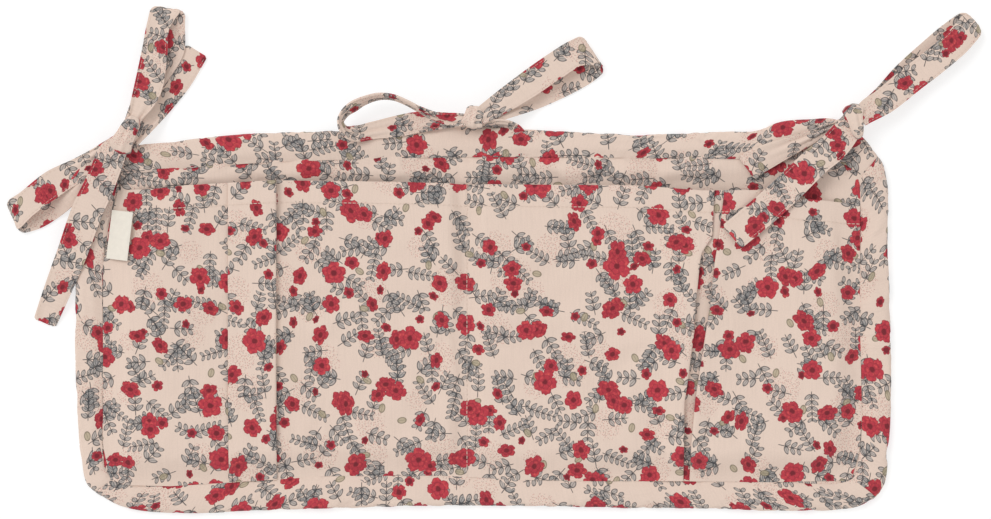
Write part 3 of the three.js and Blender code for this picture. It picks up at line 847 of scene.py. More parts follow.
def flowers(recipe, cloth, wobble, spacing, shift, radius):
    """Round flowers with five notched petals: mask, ink lines and a random tone."""
    x, y, size, turn, tone = scattered(recipe, cloth, spacing, shift)
    along, over = turned(x, y, turn)
    over = over * (tone * 0.5 + 0.95)
    reach = (along * along + over * over).math("SQRT")
    angle = over.math("ARCTAN2", along)
    lobes = abs((angle * 2.5).math("SINE")).math("SQRT")
    edge = (size * 0.38 + 0.72) * (lobes * 0.32 + 0.68) * radius
    inside = edge + wobble * (radius * 0.14) - reach
    mask = (inside * 2.6 + 0.5).clamped()
    between = (1 - lobes * (reach * 0.35 + 0.9)).clamped() * (reach * 0.9 - 1.0).clamped()
    rim = (1 - inside * 1.1).clamped() * 0.6
    heart = (2.6 - reach + wobble).clamped() * 0.9
    inner = (1 - abs(reach - edge * 0.58 + wobble) * 1.6).clamped() * 0.5
    ink = between.math("MAXIMUM", rim).math("MAXIMUM", heart).math("MAXIMUM", inner)
    return mask, ink, tone


def sprigs(recipe, cloth, spacing, shift, length, leaf):
    """Straight stems with pairs of leaves: masks of their fill and of their lines."""
    x, y, _, turn, _ = scattered(recipe, cloth, spacing, shift)
    along, over = turned(x, y, turn)
    side = abs(over)
    pitch = leaf * 0.95
    shifted = along + pitch * 0.16
    base = (shifted / pitch).math("FLOOR") * pitch
    step = along - base
    near = (length / 2 - abs(base)).math("GREATER_THAN", 0.0)
    lean, rise = math.cos(math.radians(LEAF_ANGLE)), math.sin(math.radians(LEAF_ANGLE))
    grown = (1.12 - base / length * 0.5) * leaf
    out = (step * lean + side * rise) / grown
    thick = (side * lean - step * rise) / grown
    shape = (out - 0.55).math("POWER", 2.0) * 4.4 + (thick / 0.27).math("POWER", 2.0)
    fill = (1 - shape).math("GREATER_THAN", 0.0) * near
    line = (1 - abs(shape - 0.85) * 2.1).clamped()
    vein = (1 - abs(thick) * 26).clamped() * fill * 0.8
    stem = (1.3 - side * 3.0).clamped() * (length / 2 + leaf * 0.5 - abs(along)).clamped()
    lines = (line.math("MAXIMUM", vein) * near).math("MAXIMUM", stem)
    return fill, lines


def berries(recipe, cloth, spacing, shift, radius):
    """Small outlined ovals: masks of their fill and of their lines."""
    x, y, _, turn, _ = scattered(recipe, cloth, spacing, shift)
    along, over = turned(x, y, turn)
    reach = (along * along * 0.58 + over * over * 1.25).math("SQRT")
    mask = ((radius - reach) * 3 + 0.5).clamped()
    ring = (1 - abs(reach - radius * 0.9) * 2.0).clamped()
    return mask, ring.math("MAXIMUM", (0.9 - abs(over) * 4).clamped() * mask)


# Where each motif of the print is scattered: spacing and shift, then the sizes of the motif
DOTS = [(1.75, (3.1, 7.7), DOT_RED), (2.3, (6.3, 2.7), DOT_GREY)]
DOT_PATCH_SPACING = 43
DOT_PATCH_SHIFT = (0.3, 0.9)
SPRIGS = [
    (30, (0.15, 0.62), 15, 5.0), (32, (5.45, 2.1), 12, 5.6), (34, (9.7, 4.35), 18, 4.6),
    (37, (2.35, 7.4), 13, 5.3),
]
BERRIES = (40, (2.6, 3.3), 2.6)
FLOWERS = [
    (37, (1.3, 8.8), 0.5), (44, (6.2, 1.9), 0.8), (48, (3.85, 5.4), 1.05), (53, (8.1, 0.45), 0.9),
]
STREAK_SHARES = (0.8, 0.05, 1)


def printed_cotton(settings, name):
    """Pale cotton with a small scattered floral of flowers, leaf sprigs, berries and dots."""
    recipe = Recipe(name)
    cloth = cloth_place(recipe)
    noise = recipe.noise(cloth, 0.42, 1.0)
    wobble = noise * 2 - 1
    grain = recipe.noise(cloth, 1.1, 3.0)
    patches = recipe.noise(cloth, 0.02, 2.0)
    ground = recipe.mixed(patches, rgba(settings.ground, 0.965), rgba(settings.ground, 1.03))
    colour = recipe.mixed(grain, ground, rgba(settings.ground, 0.86))
    streaks = recipe.noise(recipe.vector("MULTIPLY", cloth, STREAK_SHARES), 1.0, 2.0)
    faint = ((streaks - 0.45) * 1.4).clamped()
    colour = recipe.mixed(faint, colour, rgba(settings.ground, 0.85))
    for spacing, shift, hue in DOTS:
        x, y, _, _, _ = scattered(recipe, cloth, spacing, shift, DOT_WILDNESS)
        dot = (1.35 - (x * x + y * y).math("SQRT") * 3.1).clamped()
        px, py, size, _, _ = scattered(recipe, cloth, DOT_PATCH_SPACING, DOT_PATCH_SHIFT)
        patch = (size * 9 + 7.5 + wobble * 3 - (px * px + py * py).math("SQRT")).clamped()
        colour = recipe.mixed(dot * patch * 0.75, colour, rgba(hue))
    for row in SPRIGS:
        fill, lines = sprigs(recipe, cloth, *row)
        colour = recipe.mixed(fill * 0.66, colour, rgba(settings.leaf))
        colour = recipe.mixed(lines, colour, rgba(settings.leaf_ink))
    mask, ring = berries(recipe, cloth, *BERRIES)
    colour = recipe.mixed(mask * 0.8, colour, rgba(settings.berry))
    colour = recipe.mixed(ring * 0.85, colour, rgba(settings.berry, 0.3))
    for spacing, shift, share in FLOWERS:
        radius = settings.flower_radius * share
        mask, ink, tone = flowers(recipe, cloth, wobble, spacing, shift, radius)
        petal = recipe.mixed(tone, rgba(settings.flower), rgba(settings.flower, 0.78))
        bright = ((noise - 0.5) * 3.2).clamped()
        petal = recipe.mixed(bright, petal, rgba(settings.flower_light))
        petal = recipe.mixed(ink, petal, rgba(settings.flower_ink))
        colour = recipe.mixed(mask, colour, petal)
    parts = recipe.node("SeparateXYZ", None, [cloth])
    turns = 2 * math.pi / settings.weave
    warp = (parts * turns).math("SINE")
    weft = (parts.other(1) * turns).math("SINE")
    slubs = recipe.noise(cloth, 0.9, 3.0)
    height = warp * weft * 0.5 + slubs
    return recipe.finish(
        colour, height, PRINT_RELIEF,
        **{"Roughness": 0.88, "Sheen Weight": 0.12, "Sheen Roughness": 0.5,
           "Specular IOR Level": 0.25},
    )


def woven_cloth(name, colour, weave, roughness, distance, sheen):
    """A plain cloth of one colour with its weave."""
    recipe = Recipe(name)
    cloth = cloth_place(recipe)
    parts = recipe.node("SeparateXYZ", None, [cloth])
    turns = 2 * math.pi / weave
    weft = (parts.other(1) * turns).math("SINE")
    height = (parts * turns).math("SINE") * weft
    tone = recipe.noise(cloth, 0.25, 4.0)
    shade = recipe.mixed(tone, rgba(colour, 0.93), rgba(colour, 1.04))
    return recipe.finish(
        shade, height, distance,
        **{"Roughness": roughness, "Sheen Weight": sheen, "Specular IOR Level": 0.3},
    )


def twisted_thread(settings):
    """Thread with its slanting twist, darkened in the twist's grooves as painted shade."""
    recipe = Recipe("sewing_thread")
    spot = recipe.node("TexCoord", None, (), "Object")
    parts = recipe.node("SeparateXYZ", None, [spot])
    twist = ((parts + parts.other(1)) * THREAD_TURNS).math("SINE")
    # Darker where the twist lies low: painted shade in the grooves of the twist, following the bump below.
    shade = recipe.mixed(twist * 0.5 + 0.5, rgba(settings.thread, 0.85), rgba(settings.thread))
    return recipe.finish(
        shade, twist, THREAD_RELIEF, **{"Roughness": 0.7, "Specular IOR Level": 0.35}
    )


def finish_of(name):
    """A finish that an earlier step made."""
    return bpy.data.materials[name]


def make_finishes(settings):
    """Every finish of the caddy, by name."""
    printed_cotton(settings, "floral_cotton")
    printed_cotton(settings, "floral_tape")
    woven_cloth("back_cotton", settings.backing, settings.weave, 0.9, COTTON_RELIEF, 0.1)
    woven_cloth("label_satin", settings.satin, SATIN_WEAVE, 0.55, THREAD_RELIEF, 0.3)
    woven_cloth("fleece", FLEECE_COLOUR, FLEECE_WEAVE, 1.0, FLEECE_RELIEF, 0.5)
    twisted_thread(settings)


# Seams of the panel, at columns and rows of pixels
def left_seam(py):
    return across(read(LEFT_SEAM_PIXELS, py))


def right_seam(py):
    return across(read(RIGHT_SEAM_PIXELS, py))


def foot_of(px):
    return up(read(POCKET_FOOT_PIXELS, px))


def mouth_of(px):
    return up(read(POCKET_TOP_PIXELS, px))


def band_seam(px):
    return up(read(BAND_SEAM_PIXELS, px))


# The bound edge, in millimetres
BINDING_STEP = 1.9
EDGE_RADIUS = 2.9
EDGE_LEVEL = 3.1
BINDING_LEVEL = 6.0
BINDING_CROWN = 1.25
BINDING_BACK_LEVEL = 0.42
SEAM_DROP = 0.3
CAUGHT_SLOPE = 5
CAUGHT_MARGIN = 3
FRONT_SHARES = np.linspace(0, 1, 15) ** 1.25
EDGE_ANGLES = np.linspace(0, np.pi, 9)[1:-1]
BACK_SHARES = np.linspace(1, 0, 8)

# Heights of its puckers and wrinkles, and how far its ends are pinched at the mitres
FRONT_PUCKER = 0.34
BACK_PUCKER = 0.12
BINDING_WRINKLE = 0.22
MITRE_PINCH = 0.55
BINDING_SINK = 0.2

# Where the print of one binding lies from that of the one before
CLOTH_SHIFT = np.array([137.0, 71.0])


def part_of(loop, start, end):
    """The stretch of a closed line from the point nearest one place to that nearest another."""
    first = np.argmin(np.linalg.norm(loop - start, axis=1))
    last = np.argmin(np.linalg.norm(loop - end, axis=1))
    if last <= first:
        last += len(loop)
    return loop[np.arange(first, last + 1) % len(loop)]


def binding_grid(name, seed):
    """The middle surface of one bound edge, from its front seam over the edge to its back seam."""
    start, end = (place(MITRE_PIXELS[key]) for key in STRIPS[name])
    edge = smooth_line(place(EDGE_PIXELS), closed=True, space=2)
    seam = smooth_line(place(SEAM_PIXELS), closed=True, space=2)
    inner = part_of(seam, start[0], end[0])
    outer = part_of(edge, start[1], end[1])
    length = np.linalg.norm(np.diff(inner, axis=0), axis=1).sum()
    columns = int(length / BINDING_STEP)
    inner, outer = even(inner, columns, 2), even(outer, columns, 2)
    reach = np.linalg.norm(outer - inner, axis=1)
    outward = (outer - inner) / reach[:, None]
    s = np.linspace(0, length, columns)
    flat = reach - EDGE_RADIUS
    rows, places = [], []
    pucker = creases(s / 5.2, 0 * s + seed, seed)
    swell = 1 + 0.25 * creases(s / 34, 0 * s + seed, seed + 3)
    pinch = MITRE_PINCH * np.exp(-np.minimum(s, length - s) / 2.2)
    caught = 0 * s
    if name == "top_band":
        first, last = across(CAUGHT_PIXELS)
        after = smooth((inner[:, 0] - first + CAUGHT_MARGIN) / CAUGHT_SLOPE)
        before = smooth((last + CAUGHT_MARGIN - inner[:, 0]) / CAUGHT_SLOPE)
        caught = CAUGHT_LIFT * after * before

    def row(d, level, over):
        rows.append(np.column_stack([inner + outward * d[:, None], level]))
        places.append(np.column_stack([s, over]))

    for share in FRONT_SHARES:
        d = share * flat
        level = SEAM_LEVEL - SEAM_DROP
        level = level + (BINDING_LEVEL - SEAM_LEVEL + SEAM_DROP) * smooth(share * 2.2)
        level = level + BINDING_CROWN * swell * np.sin(np.pi * share) ** 0.75
        level = level + FRONT_PUCKER * pucker * np.exp(-d / 5.5) * smooth(d / 0.8)
        level = level + BINDING_WRINKLE * creases(s / 17, d / 14, seed + 7)
        level = level + caught * (1 - 0.75 * smooth(share * 1.3))
        row(d, level - pinch, d)
    for angle in EDGE_ANGLES:
        d = flat + EDGE_RADIUS * np.sin(angle)
        level = EDGE_LEVEL + EDGE_RADIUS * np.cos(angle)
        level = level + BINDING_WRINKLE * creases(s / 17, d / 14, seed + 7)
        row(d, level - pinch * 0.5, flat + EDGE_RADIUS * angle)
    for share in BACK_SHARES:
        d = share * flat
        level = BINDING_BACK_LEVEL + BACK_PUCKER * pucker * np.exp(-d / 5) + 0 * s
        row(d, level, flat + EDGE_RADIUS * np.pi + (1 - share) * flat)
    grid = np.array(rows)
    held = np.zeros(grid.shape[:2])
    held[0] = 1
    held[len(FRONT_SHARES) + len(EDGE_ANGLES):] = 1
    held[:, [0, -1]] = 1
    lowest = grid[..., 2] - BINDING_SINK
    grid = settled("binding", grid, held)
    grid[..., 2] = np.maximum(grid[..., 2], lowest)
    cloth = np.array(places) + CLOTH_SHIFT * seed
    return grid[:, ::-1], cloth[:, ::-1]


def interior_grid(rows, columns, lap):
    """A grid of flat places inside the seams, lapping under the bound edge."""
    share_up = np.linspace(0, 1, rows)[:, None]
    share_across = np.linspace(0, 1, columns)[None, :]
    low, high = INTERIOR_PIXELS
    rough_up = low + (high - low) * share_up
    left, right = left_seam(rough_up) - lap, right_seam(rough_up) + lap
    x = left + (right - left) * share_across
    foot = foot_of(column_of(x)) - lap
    top = band_seam(column_of(x)) + lap
    return x, foot + (top - foot) * share_up


# The pocket row: where down it the pleats stand up, and how their layers turn and fall away
PUFF_PIXEL = 234
PROUD_PIXEL = 236
PLEAT_SLOPE = 42
PLEAT_SETTLING = 0.35
FOLD_ANGLES = [-90, -55, -20, 20, 55, 90]

# Heights of its rolls, of its puckers at the seams and of its hem
LARGE_ROLL = 0.75
SMALL_ROLL = 0.35
FOOT_PUCKER = 0.55
SEAM_PUCKER = 0.4
HEM_GROOVE = 0.22
HEM_HEIGHT = 0.3


def pocket_rise(x, y, settings):
    """Height of the pocket cloth over its seams."""
    slope = settings.pocket_slope
    rise = smooth((x - left_seam(row_of(y))) / slope)
    rise = rise * smooth((right_seam(row_of(y)) - x) / slope)
    rise = rise * smooth((y - foot_of(column_of(x))) / slope)
    valley = np.abs(x - across(CENTRE_SEAM_PIXEL)) / settings.seam_slope
    return settings.pocket_room * rise * (1 - settings.seam_depth * (1 - smooth(valley)))


def pocket_section(y, settings):
    """Places across the pocket row and their layers in the pleats, at one height."""
    py = row_of(y)
    tuck, radius = settings.pleat_tuck, settings.pleat_pitch / 2
    box_left, box_right = across(BOX_PLEAT_PIXELS)
    inner, outer = across(read(INNER_FOLD_PIXELS, py)), across(read(OUTER_FOLD_PIXELS, py))
    start, centre, end = left_seam(py), across(CENTRE_SEAM_PIXEL), right_seam(py)
    puff = settings.pleat_puff * smooth((py - PUFF_PIXEL) / 30)
    proud = settings.pleat_puff * (1 + 0.8 * smooth((PROUD_PIXEL - py) / 40))
    angles = np.radians(FOLD_ANGLES)
    dense = settings.samples_along
    x, layer = [], []

    def run(low, high, steps, level):
        places = np.linspace(low, high, steps + 2)[1:-1]
        x.extend(places)
        layer.extend(level(places))

    def turn(fold, heading, low, high):
        x.extend(fold - heading * radius * (1 - np.cos(angles)))
        layer.extend((low + high) / 2 + (high - low) / 2 * np.sin(angles))

    def flat(places):
        return 0 * places

    def lifted(places):
        return 2 + proud * smooth((places - box_left) / (box_right - box_left))

    def rising(places):
        gap = inner - places
        return 2 * smooth(1 - gap / PLEAT_SLOPE) + puff * smooth(1 - gap / 22)

    def falling(places):
        gap = places - outer
        return 2 * smooth(1 - gap / PLEAT_SLOPE) + puff * smooth(1 - gap / 14)

    x.append(start)
    layer.append(0)
    run(start, box_left + tuck, dense, flat)
    turn(box_left + tuck, 1, 0, 1)
    turn(box_left, -1, 1, 2)
    run(box_left, box_right, dense // 3, lifted)
    turn(box_right, 1, 2 + proud, 1)
    turn(box_right - tuck, -1, 1, 0)
    run(box_right - tuck, centre, dense, flat)
    x.append(centre)
    layer.append(0)
    run(centre, inner, dense, rising)
    turn(inner, 1, 2 + puff, 1)
    turn(inner - tuck, -1, 1, 0)
    run(inner - tuck, outer + tuck, dense // 5, flat)
    turn(outer + tuck, 1, 0, 1)
    turn(outer, -1, 1, 2 + puff)
    run(outer, end, dense, falling)
    x.append(end)
    layer.append(0)
    return np.array(x), np.array(layer)


def pocket_slack(settings, rows=64, columns=160):
    """How the pocket cloth moves as it settles, from its foot to its open edge."""
    share = np.linspace(0, 1, rows)[:, None]
    low, high = up(POCKET_ROW_PIXELS)
    py = row_of(low + share * (high - low))
    left, right = left_seam(py), right_seam(py)
    x = left + (right - left) * np.linspace(0, 1, columns)
    foot, top = foot_of(column_of(x)), mouth_of(column_of(x))
    y = foot + share * (top - foot)
    level = SEAM_LEVEL + pocket_rise(x, y, settings) + 0.2 * creases(x / 24, y / 22, 5)
    grid = np.stack([x, y, level], -1)
    held = np.zeros((rows, columns))
    held[0] = 1
    held[:, [0, -1]] = 1
    held[np.arange(rows), np.abs(x - across(CENTRE_SEAM_PIXEL)).argmin(1)] = 1
    return settled("pocket", grid, held) - grid


def pocket_grid(settings, rows=96):
    """The middle surface of the pocket cloth, from its foot to its open edge."""
    low, high = up(POCKET_ROW_PIXELS)
    slack = pocket_slack(settings)
    grid, places = [], []
    for share in np.linspace(0, 1, rows):
        x, layer = pocket_section(low + share * (high - low), settings)
        foot, top = foot_of(column_of(x)), mouth_of(column_of(x))
        y = foot + share * (top - foot)
        rise = pocket_rise(x, y, settings)
        loose = smooth(rise / settings.pocket_room)
        fullness = PLEAT_SETTLING + (1 - PLEAT_SETTLING) * loose
        level = SEAM_LEVEL + rise + layer * settings.pleat_pitch * fullness
        rolls = LARGE_ROLL * creases(x / 74, y / 58, 4) + SMALL_ROLL * bumps(x / 31, y / 27, 9)
        foot_gap, centre_gap = y - foot, np.abs(x - across(CENTRE_SEAM_PIXEL))
        by_foot = np.exp(-foot_gap / 9) * smooth(foot_gap / 3)
        by_seam = np.exp(-centre_gap / 8) * smooth(centre_gap / 2)
        level = level + loose * rolls
        level = level + FOOT_PUCKER * bumps(x / 9, 0 * x, 12) * by_foot
        level = level + SEAM_PUCKER * bumps(y / 7, 0 * x, 14) * by_seam
        hem_gap = top - y
        level = level - HEM_GROOVE * np.exp(-(((hem_gap - settings.hem) / 1.6) ** 2))
        level = level + HEM_HEIGHT * (hem_gap < settings.hem)
        moved = sampled(slack, 0 * x + share, (x - x[0]) / (x[-1] - x[0]))
        line = np.column_stack([x, y, level]) + moved * (0.2 + 0.8 * loose[:, None])
        lowest = SEAM_LEVEL + layer * settings.pleat_pitch * PLEAT_SETTLING
        line[:, 2] = np.maximum(line[:, 2], lowest)
        grid.append(line)
        section = np.column_stack([x, layer * settings.pleat_pitch])
        places.append(np.column_stack([run_of(section) + x[0], y]))
    return np.array(grid), np.array(places)


# The ties
BASES = {
    "left": [
        (129, 139, 9.0, 0.45, 0), (131, 147, 6.2, 0.5, 0), (133.5, 160, UNDER_BAND, 0.9, 0),
        (134.5, 172, UNDER_BAND, 1, 0), (134.5, 192, UNDER_BAND, 1, 0),
    ],
    "centre": [
        (478, 121, 9.0, 0.75, 50), (489, 124.6, 8.4, 0.75, 62), (500, 124.9, 7.6, 0.74, 62),
        (509, 128, 5.4, 0.8, 48), (513.5, 137, 3.4, 0.95, 8),
    ],
    "right": [(849, 130, 9.0, 0.55, 0), (840, 143, 7.9, 0.6, 0), (831, 155, 7.9, 0.6, 0)],
}
HALF_LIFT = LOOP_LIFT / 2

# How far the corners of a loop's tip and of a cut end are rounded
LOOP_CORNER = 5.0
END_CORNER = 2.0
BASE_LIMPNESS = 0.1
LOWEST_TAPE = 0.75
TAPE_STEP = 1.3
TAPE_COLUMNS = 25

# How deep a tape gathers where it is drawn in, and where its print lies from that of the last
TAPE_GATHER = 2.3
GATHER_WIDTH = 14
MOST_DRAWN = 0.7
TAPE_PRINT_SHIFT = (173.0, 59.0)

# Rows of a tape's grid that its stitches leave out in the knot and at its end
STITCHED_ROWS = slice(9, -2)
STITCHED_COLUMN = 2

# Each station: pixel across, pixel down, height, share of the full width, tilt in degrees
ROUTES = {
    "left_tie_upper_loop": [
        (129.5, 129.5, KNOT_LOW, 0.5, 0),
        (139, 104, OVER_PANEL, 0.55, 0), (159, 76, OVER_END, 0.7, 0),
        (173, 50, OVER_END, 0.8, 0), (172.5, 28, OVER_END, 0.9, 0),
        (168, 8.5, HALF_LIFT, 1.15, 0), (158.5, 27, LOOP_LIFT, 0.85, 0),
        (155, 53, LOOP_TOP, 0.95, 0), (148.5, 88, LOOP_TOP, 1.03, 0),
        (142, 105, LOOP_TOP + 2, 0.83, 0), (136, 117, KNOT_LEVEL, 0.56, 0),
        (130, 130, KNOT_HIGH, 0.5, 0),
    ],
    "left_tie_upper_end": [
        (133, 142, KNOT_LOW, 0.5, 0),
        (146, 124.5, OVER_PANEL - 1.5, 0.66, 0), (161, 103.5, ON_FLOOR, 0.85, 0),
        (178.5, 79.5, ON_FLOOR, 0.95, 0), (196.5, 50.5, ON_FLOOR, 0.9, 0),
    ],
    "left_tie_side_loop": [
        (121.5, 140, KNOT_LOW, 0.45, 0),
        (99, 155, OVER_PANEL, 0.55, 0), (76, 188, OVER_PANEL, 0.75, 0),
        (50, 208, ON_FLOOR, 0.9, 0), (31, 217, ON_FLOOR, 1, 0),
        (12.5, 217.5, HALF_LIFT, 1.18, 0), (26, 205, LOOP_LIFT, 1, 0),
        (55, 183, LOOP_TOP, 1, 0), (80, 169, LOOP_TOP + 1, 0.84, 0),
        (103, 153.5, KNOT_LOW + 1, 0.62, 0),
        (121.5, 140, KNOT_HIGH, 0.45, 0),
    ],
    "left_tie_long_end": [
        (123, 141.5, KNOT_HIGH - 0.6, 0.66, 0),
        (113.5, 153.5, KNOT_HIGH - 1.2, 1.04, 0), (106, 172, KNOT_LEVEL + 1, 1.08, 0),
        (99.5, 187.5, KNOT_LEVEL, 1.12, 0), (89, 208.6, KNOT_LOW + 0.6, 1.15, 0),
        (71.5, 256, OVER_PANEL, 1.1, 0), (57, 291, HALF_LIFT, 1, 0),
        (44, 323, ON_FLOOR, 0.85, 0),
    ],
    "centre_tie_left_loop": [
        (466, 121, KNOT_LOW, 0.38, 0),
        (446, 120.5, KNOT_LOW - 0.5, 0.55, 0), (420, 122.3, OVER_PANEL, 0.76, 0),
        (398, 126.4, OVER_PANEL, 0.78, 0), (374, 130.5, OVER_PANEL, 0.64, 0),
        (357, 134, 11.5, 0.6, 20), (346, 131.5, 13.2, 0.6, 60), (341, 123, 14.0, 0.6, 74),
        (344.8, 114.3, 14.0, 0.6, 68), (353.2, 107.3, 14.0, 0.62, 60),
        (363.2, 101.5, 14.0, 0.62, 69), (379, 97, 14.0, 0.62, 77), (394, 98, 14.0, 0.6, 82),
        (407, 103, 14.0, 0.55, 82), (421, 110.6, 14.3, 0.5, 78), (437, 117, 15.0, 0.45, 62),
        (451, 119.6, 15.7, 0.5, 34),
        (466, 120.5, KNOT_HIGH, 0.38, 0),
    ],
    "centre_tie_right_loop": [
        (479.5, 119, KNOT_LOW, 0.6, 0),
        (503, 112, KNOT_LOW, 0.6, 0), (538, 97, ON_FLOOR, 0.8, 0),
        (568, 81, ON_FLOOR, 0.95, 0), (587.5, 68, ON_FLOOR, 1.04, 0),
        (593.5, 53.5, HALF_LIFT, 1.42, 0), (577, 53.5, LOOP_LIFT, 1.05, 0),
        (554, 67, LOOP_TOP, 1, 0), (528, 85, LOOP_TOP, 0.98, 0),
        (497, 106, KNOT_LEVEL, 0.8, 0),
        (479, 117.5, KNOT_HIGH, 0.6, 0),
    ],
    "right_tie_loop": [
        (858, 117.5, KNOT_LOW, 0.72, 0),
        (881, 97, OVER_PANEL, 0.7, 0), (904, 77, ON_FLOOR, 0.95, 0),
        (929, 55, ON_FLOOR, 1, 0), (954, 34, ON_FLOOR, 1, 0),
        (974, 21, HALF_LIFT, 1, 0), (959, 40, LOOP_LIFT, 1, 0),
        (935, 61, LOOP_TOP, 1, 0), (909, 81, LOOP_TOP, 1, 0),
        (883.5, 101.5, KNOT_LEVEL - 1, 0.96, 0), (868.5, 110.5, KNOT_LEVEL, 0.88, 0),
        (858.5, 118, KNOT_HIGH, 0.72, 0),
    ],
    "right_tie_long_end": [
        (852.5, 123, KNOT_LEVEL, 0.92, 0),
        (838, 141, KNOT_LEVEL + 1, 1.06, 0), (829, 150.5, KNOT_LEVEL + 2, 1.07, 0),
        (815, 161.5, ON_PLEAT, 1.08, 0), (790, 185.8, ON_PLEAT, 1.1, 0),
        (766.5, 207.5, ON_PLEAT, 1.12, 0), (731, 237, ON_PLEAT, 1.1, 0),
    ],
    "right_tie_short_end": [
        (846.5, 123.5, KNOT_LOW, 0.38, 0),
        (830, 128, OVER_PANEL, 0.38, 0), (808, 138.5, OVER_PANEL, 0.55, 0),
        (786, 148, OVER_PANEL - 1, 0.75, 0), (766, 157, ON_PANEL + 0.6, 0.92, 0),
        (754, 163, ON_PANEL, 1, 0), (746.5, 168.5, ON_PANEL, 1.05, 0),
    ],
}


def stations_of(rows):
    """Stations as rows of x, y, height, width share and tilt, in millimetres."""
    table = np.array(rows, float)
    table[:, 0], table[:, 1] = across(table[:, 0]), up(table[:, 1])
    return table


def level_sides(stations):
    """The level direction over the tape at each station, square to a loop at its tip."""
    flat = stations[:, :2]
    last = len(flat) - 1

    def way(a, b):
        step = flat[min(b, last)] - flat[max(a, 0)]
        return step / max(np.linalg.norm(step), 1e-9)

    sides = np.array([way(k - 1, k + 1) for k in range(last + 1)])
    for k in range(1, last):
        if way(k - 1, k) @ way(k, k + 1) < 0:
            axis = way(k - 1, k) - way(k, k + 1)
            sides[k - 1:k + 2] = axis / np.linalg.norm(axis)
    sides = np.column_stack([-sides[:, 1], sides[:, 0], 0 * sides[:, 0]])
    for k in range(1, last + 1):
        if sides[k] @ sides[k - 1] < 0:
            sides[k] = -sides[k]
    return sides


def tape_grid(stations, settings, seed, limpness=0.3, corner=0.0):
    """The middle surface of a tape along its stations, gathered where it is drawn in."""
    sides = level_sides(stations)
    line = smooth_line(np.hstack([stations, sides]))
    length = np.linalg.norm(np.diff(line[:, :3], axis=0), axis=1).sum()
    line = even(line, max(int(length / TAPE_STEP), 12))
    middle, share, tilt, side = line[:, :3], line[:, 3], np.radians(line[:, 4]), line[:, 5:8]
    side = unit(side)
    out = unit(np.cross(unit(np.gradient(middle, axis=0)), side), 0.2)
    turn_side = side * np.cos(tilt)[:, None] + out * np.sin(tilt)[:, None]
    turn_out = out * np.cos(tilt)[:, None] - side * np.sin(tilt)[:, None]
    w = np.linspace(-1, 1, TAPE_COLUMNS)
    width = share * settings.tape_width
    tip = np.argmax(np.linalg.norm(middle[:, :2] - middle[0, :2], axis=1))
    from_tip = np.linalg.norm(middle[:, :2] - middle[tip, :2], axis=1)
    short = np.clip(corner - from_tip, 0, None)
    width = width - 2 * (corner - np.sqrt(corner ** 2 - short ** 2)) * np.cos(tilt)
    run = run_of(middle)
    drawn = np.clip(1 - share, 0, MOST_DRAWN)[:, None]
    phase = 1.2 * bumps(run / 26, 0 * run, seed)[:, None]
    waves = np.sin(w * 5.6 + phase) * 0.8 + np.sin(w * 9.4 - phase + seed) * 0.4
    fold = TAPE_GATHER * drawn * waves * np.minimum(width[:, None] / GATHER_WIDTH, 1)
    curl = limpness * creases(run[:, None] / 19, w[None, :] * 1.1, seed + 2)
    grid = (
        middle[:, None, :]
        + turn_side[:, None, :] * (w[:, None] * width[:, None, None] / 2)
        + turn_out[:, None, :] * (fold + curl)[..., None]
    )
    grid[..., 2] = np.maximum(grid[..., 2], LOWEST_TAPE)
    places = np.empty((*grid.shape[:2], 2))
    places[..., 0] = run[:, None] + seed * TAPE_PRINT_SHIFT[0]
    places[..., 1] = w * settings.tape_width / 2 + seed * TAPE_PRINT_SHIFT[1]
    return grid, places


def tie_piece(name, grid, places, settings, body):
    """A tape with a row of stitches along each edge of its upper face."""
    piece = cloth_piece(name, grid, places, settings.tape, finish_of("floral_tape"), body)
    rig.slot(piece, "tape_cotton")
    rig.sheet(piece, **cut_of(places), held="gathered", rests_on=["lining"])
    normals = grid_normals(grid)
    normals = normals * np.sign(normals[len(grid) // 2:, :, 2].mean())
    for label, column in (("a", STITCHED_COLUMN), ("b", -1 - STITCHED_COLUMN)):
        out = normals[STITCHED_ROWS, column]
        line = grid[STITCHED_ROWS, column] + out * settings.tape / 2
        stitch_row(f"{name}_stitches_{label}", line, out, body, TIE_THREAD_RADIUS)
    return piece


def body_of_node(node):
    """The body of the frame that a node belongs to."""
    for body, nodes in frame["record"]["behaviour"]["bodies"].items():
        if node in nodes:
            return body
    raise RuntimeError(f"no body holds {node}")


# The stage: sizes in metres, angles in degrees
FLOOR_REACH = 8.0
FLOOR_LEVEL = -0.0003
FLOOR_GREY = (0.42, 0.42, 0.42, 1)
FLOOR_GLOW = 0.62
SKY_COLOUR = (1.0, 0.995, 0.99, 1)
LAMP_ANGLE = 28
LAMP_WAY = (0.62, -0.5, -0.95)
SENSOR_WIDTH = 36
CAMERA_DISTANCE = 3.0
CAMERA_REACH = 20
SHARP_LEVEL = 0.006


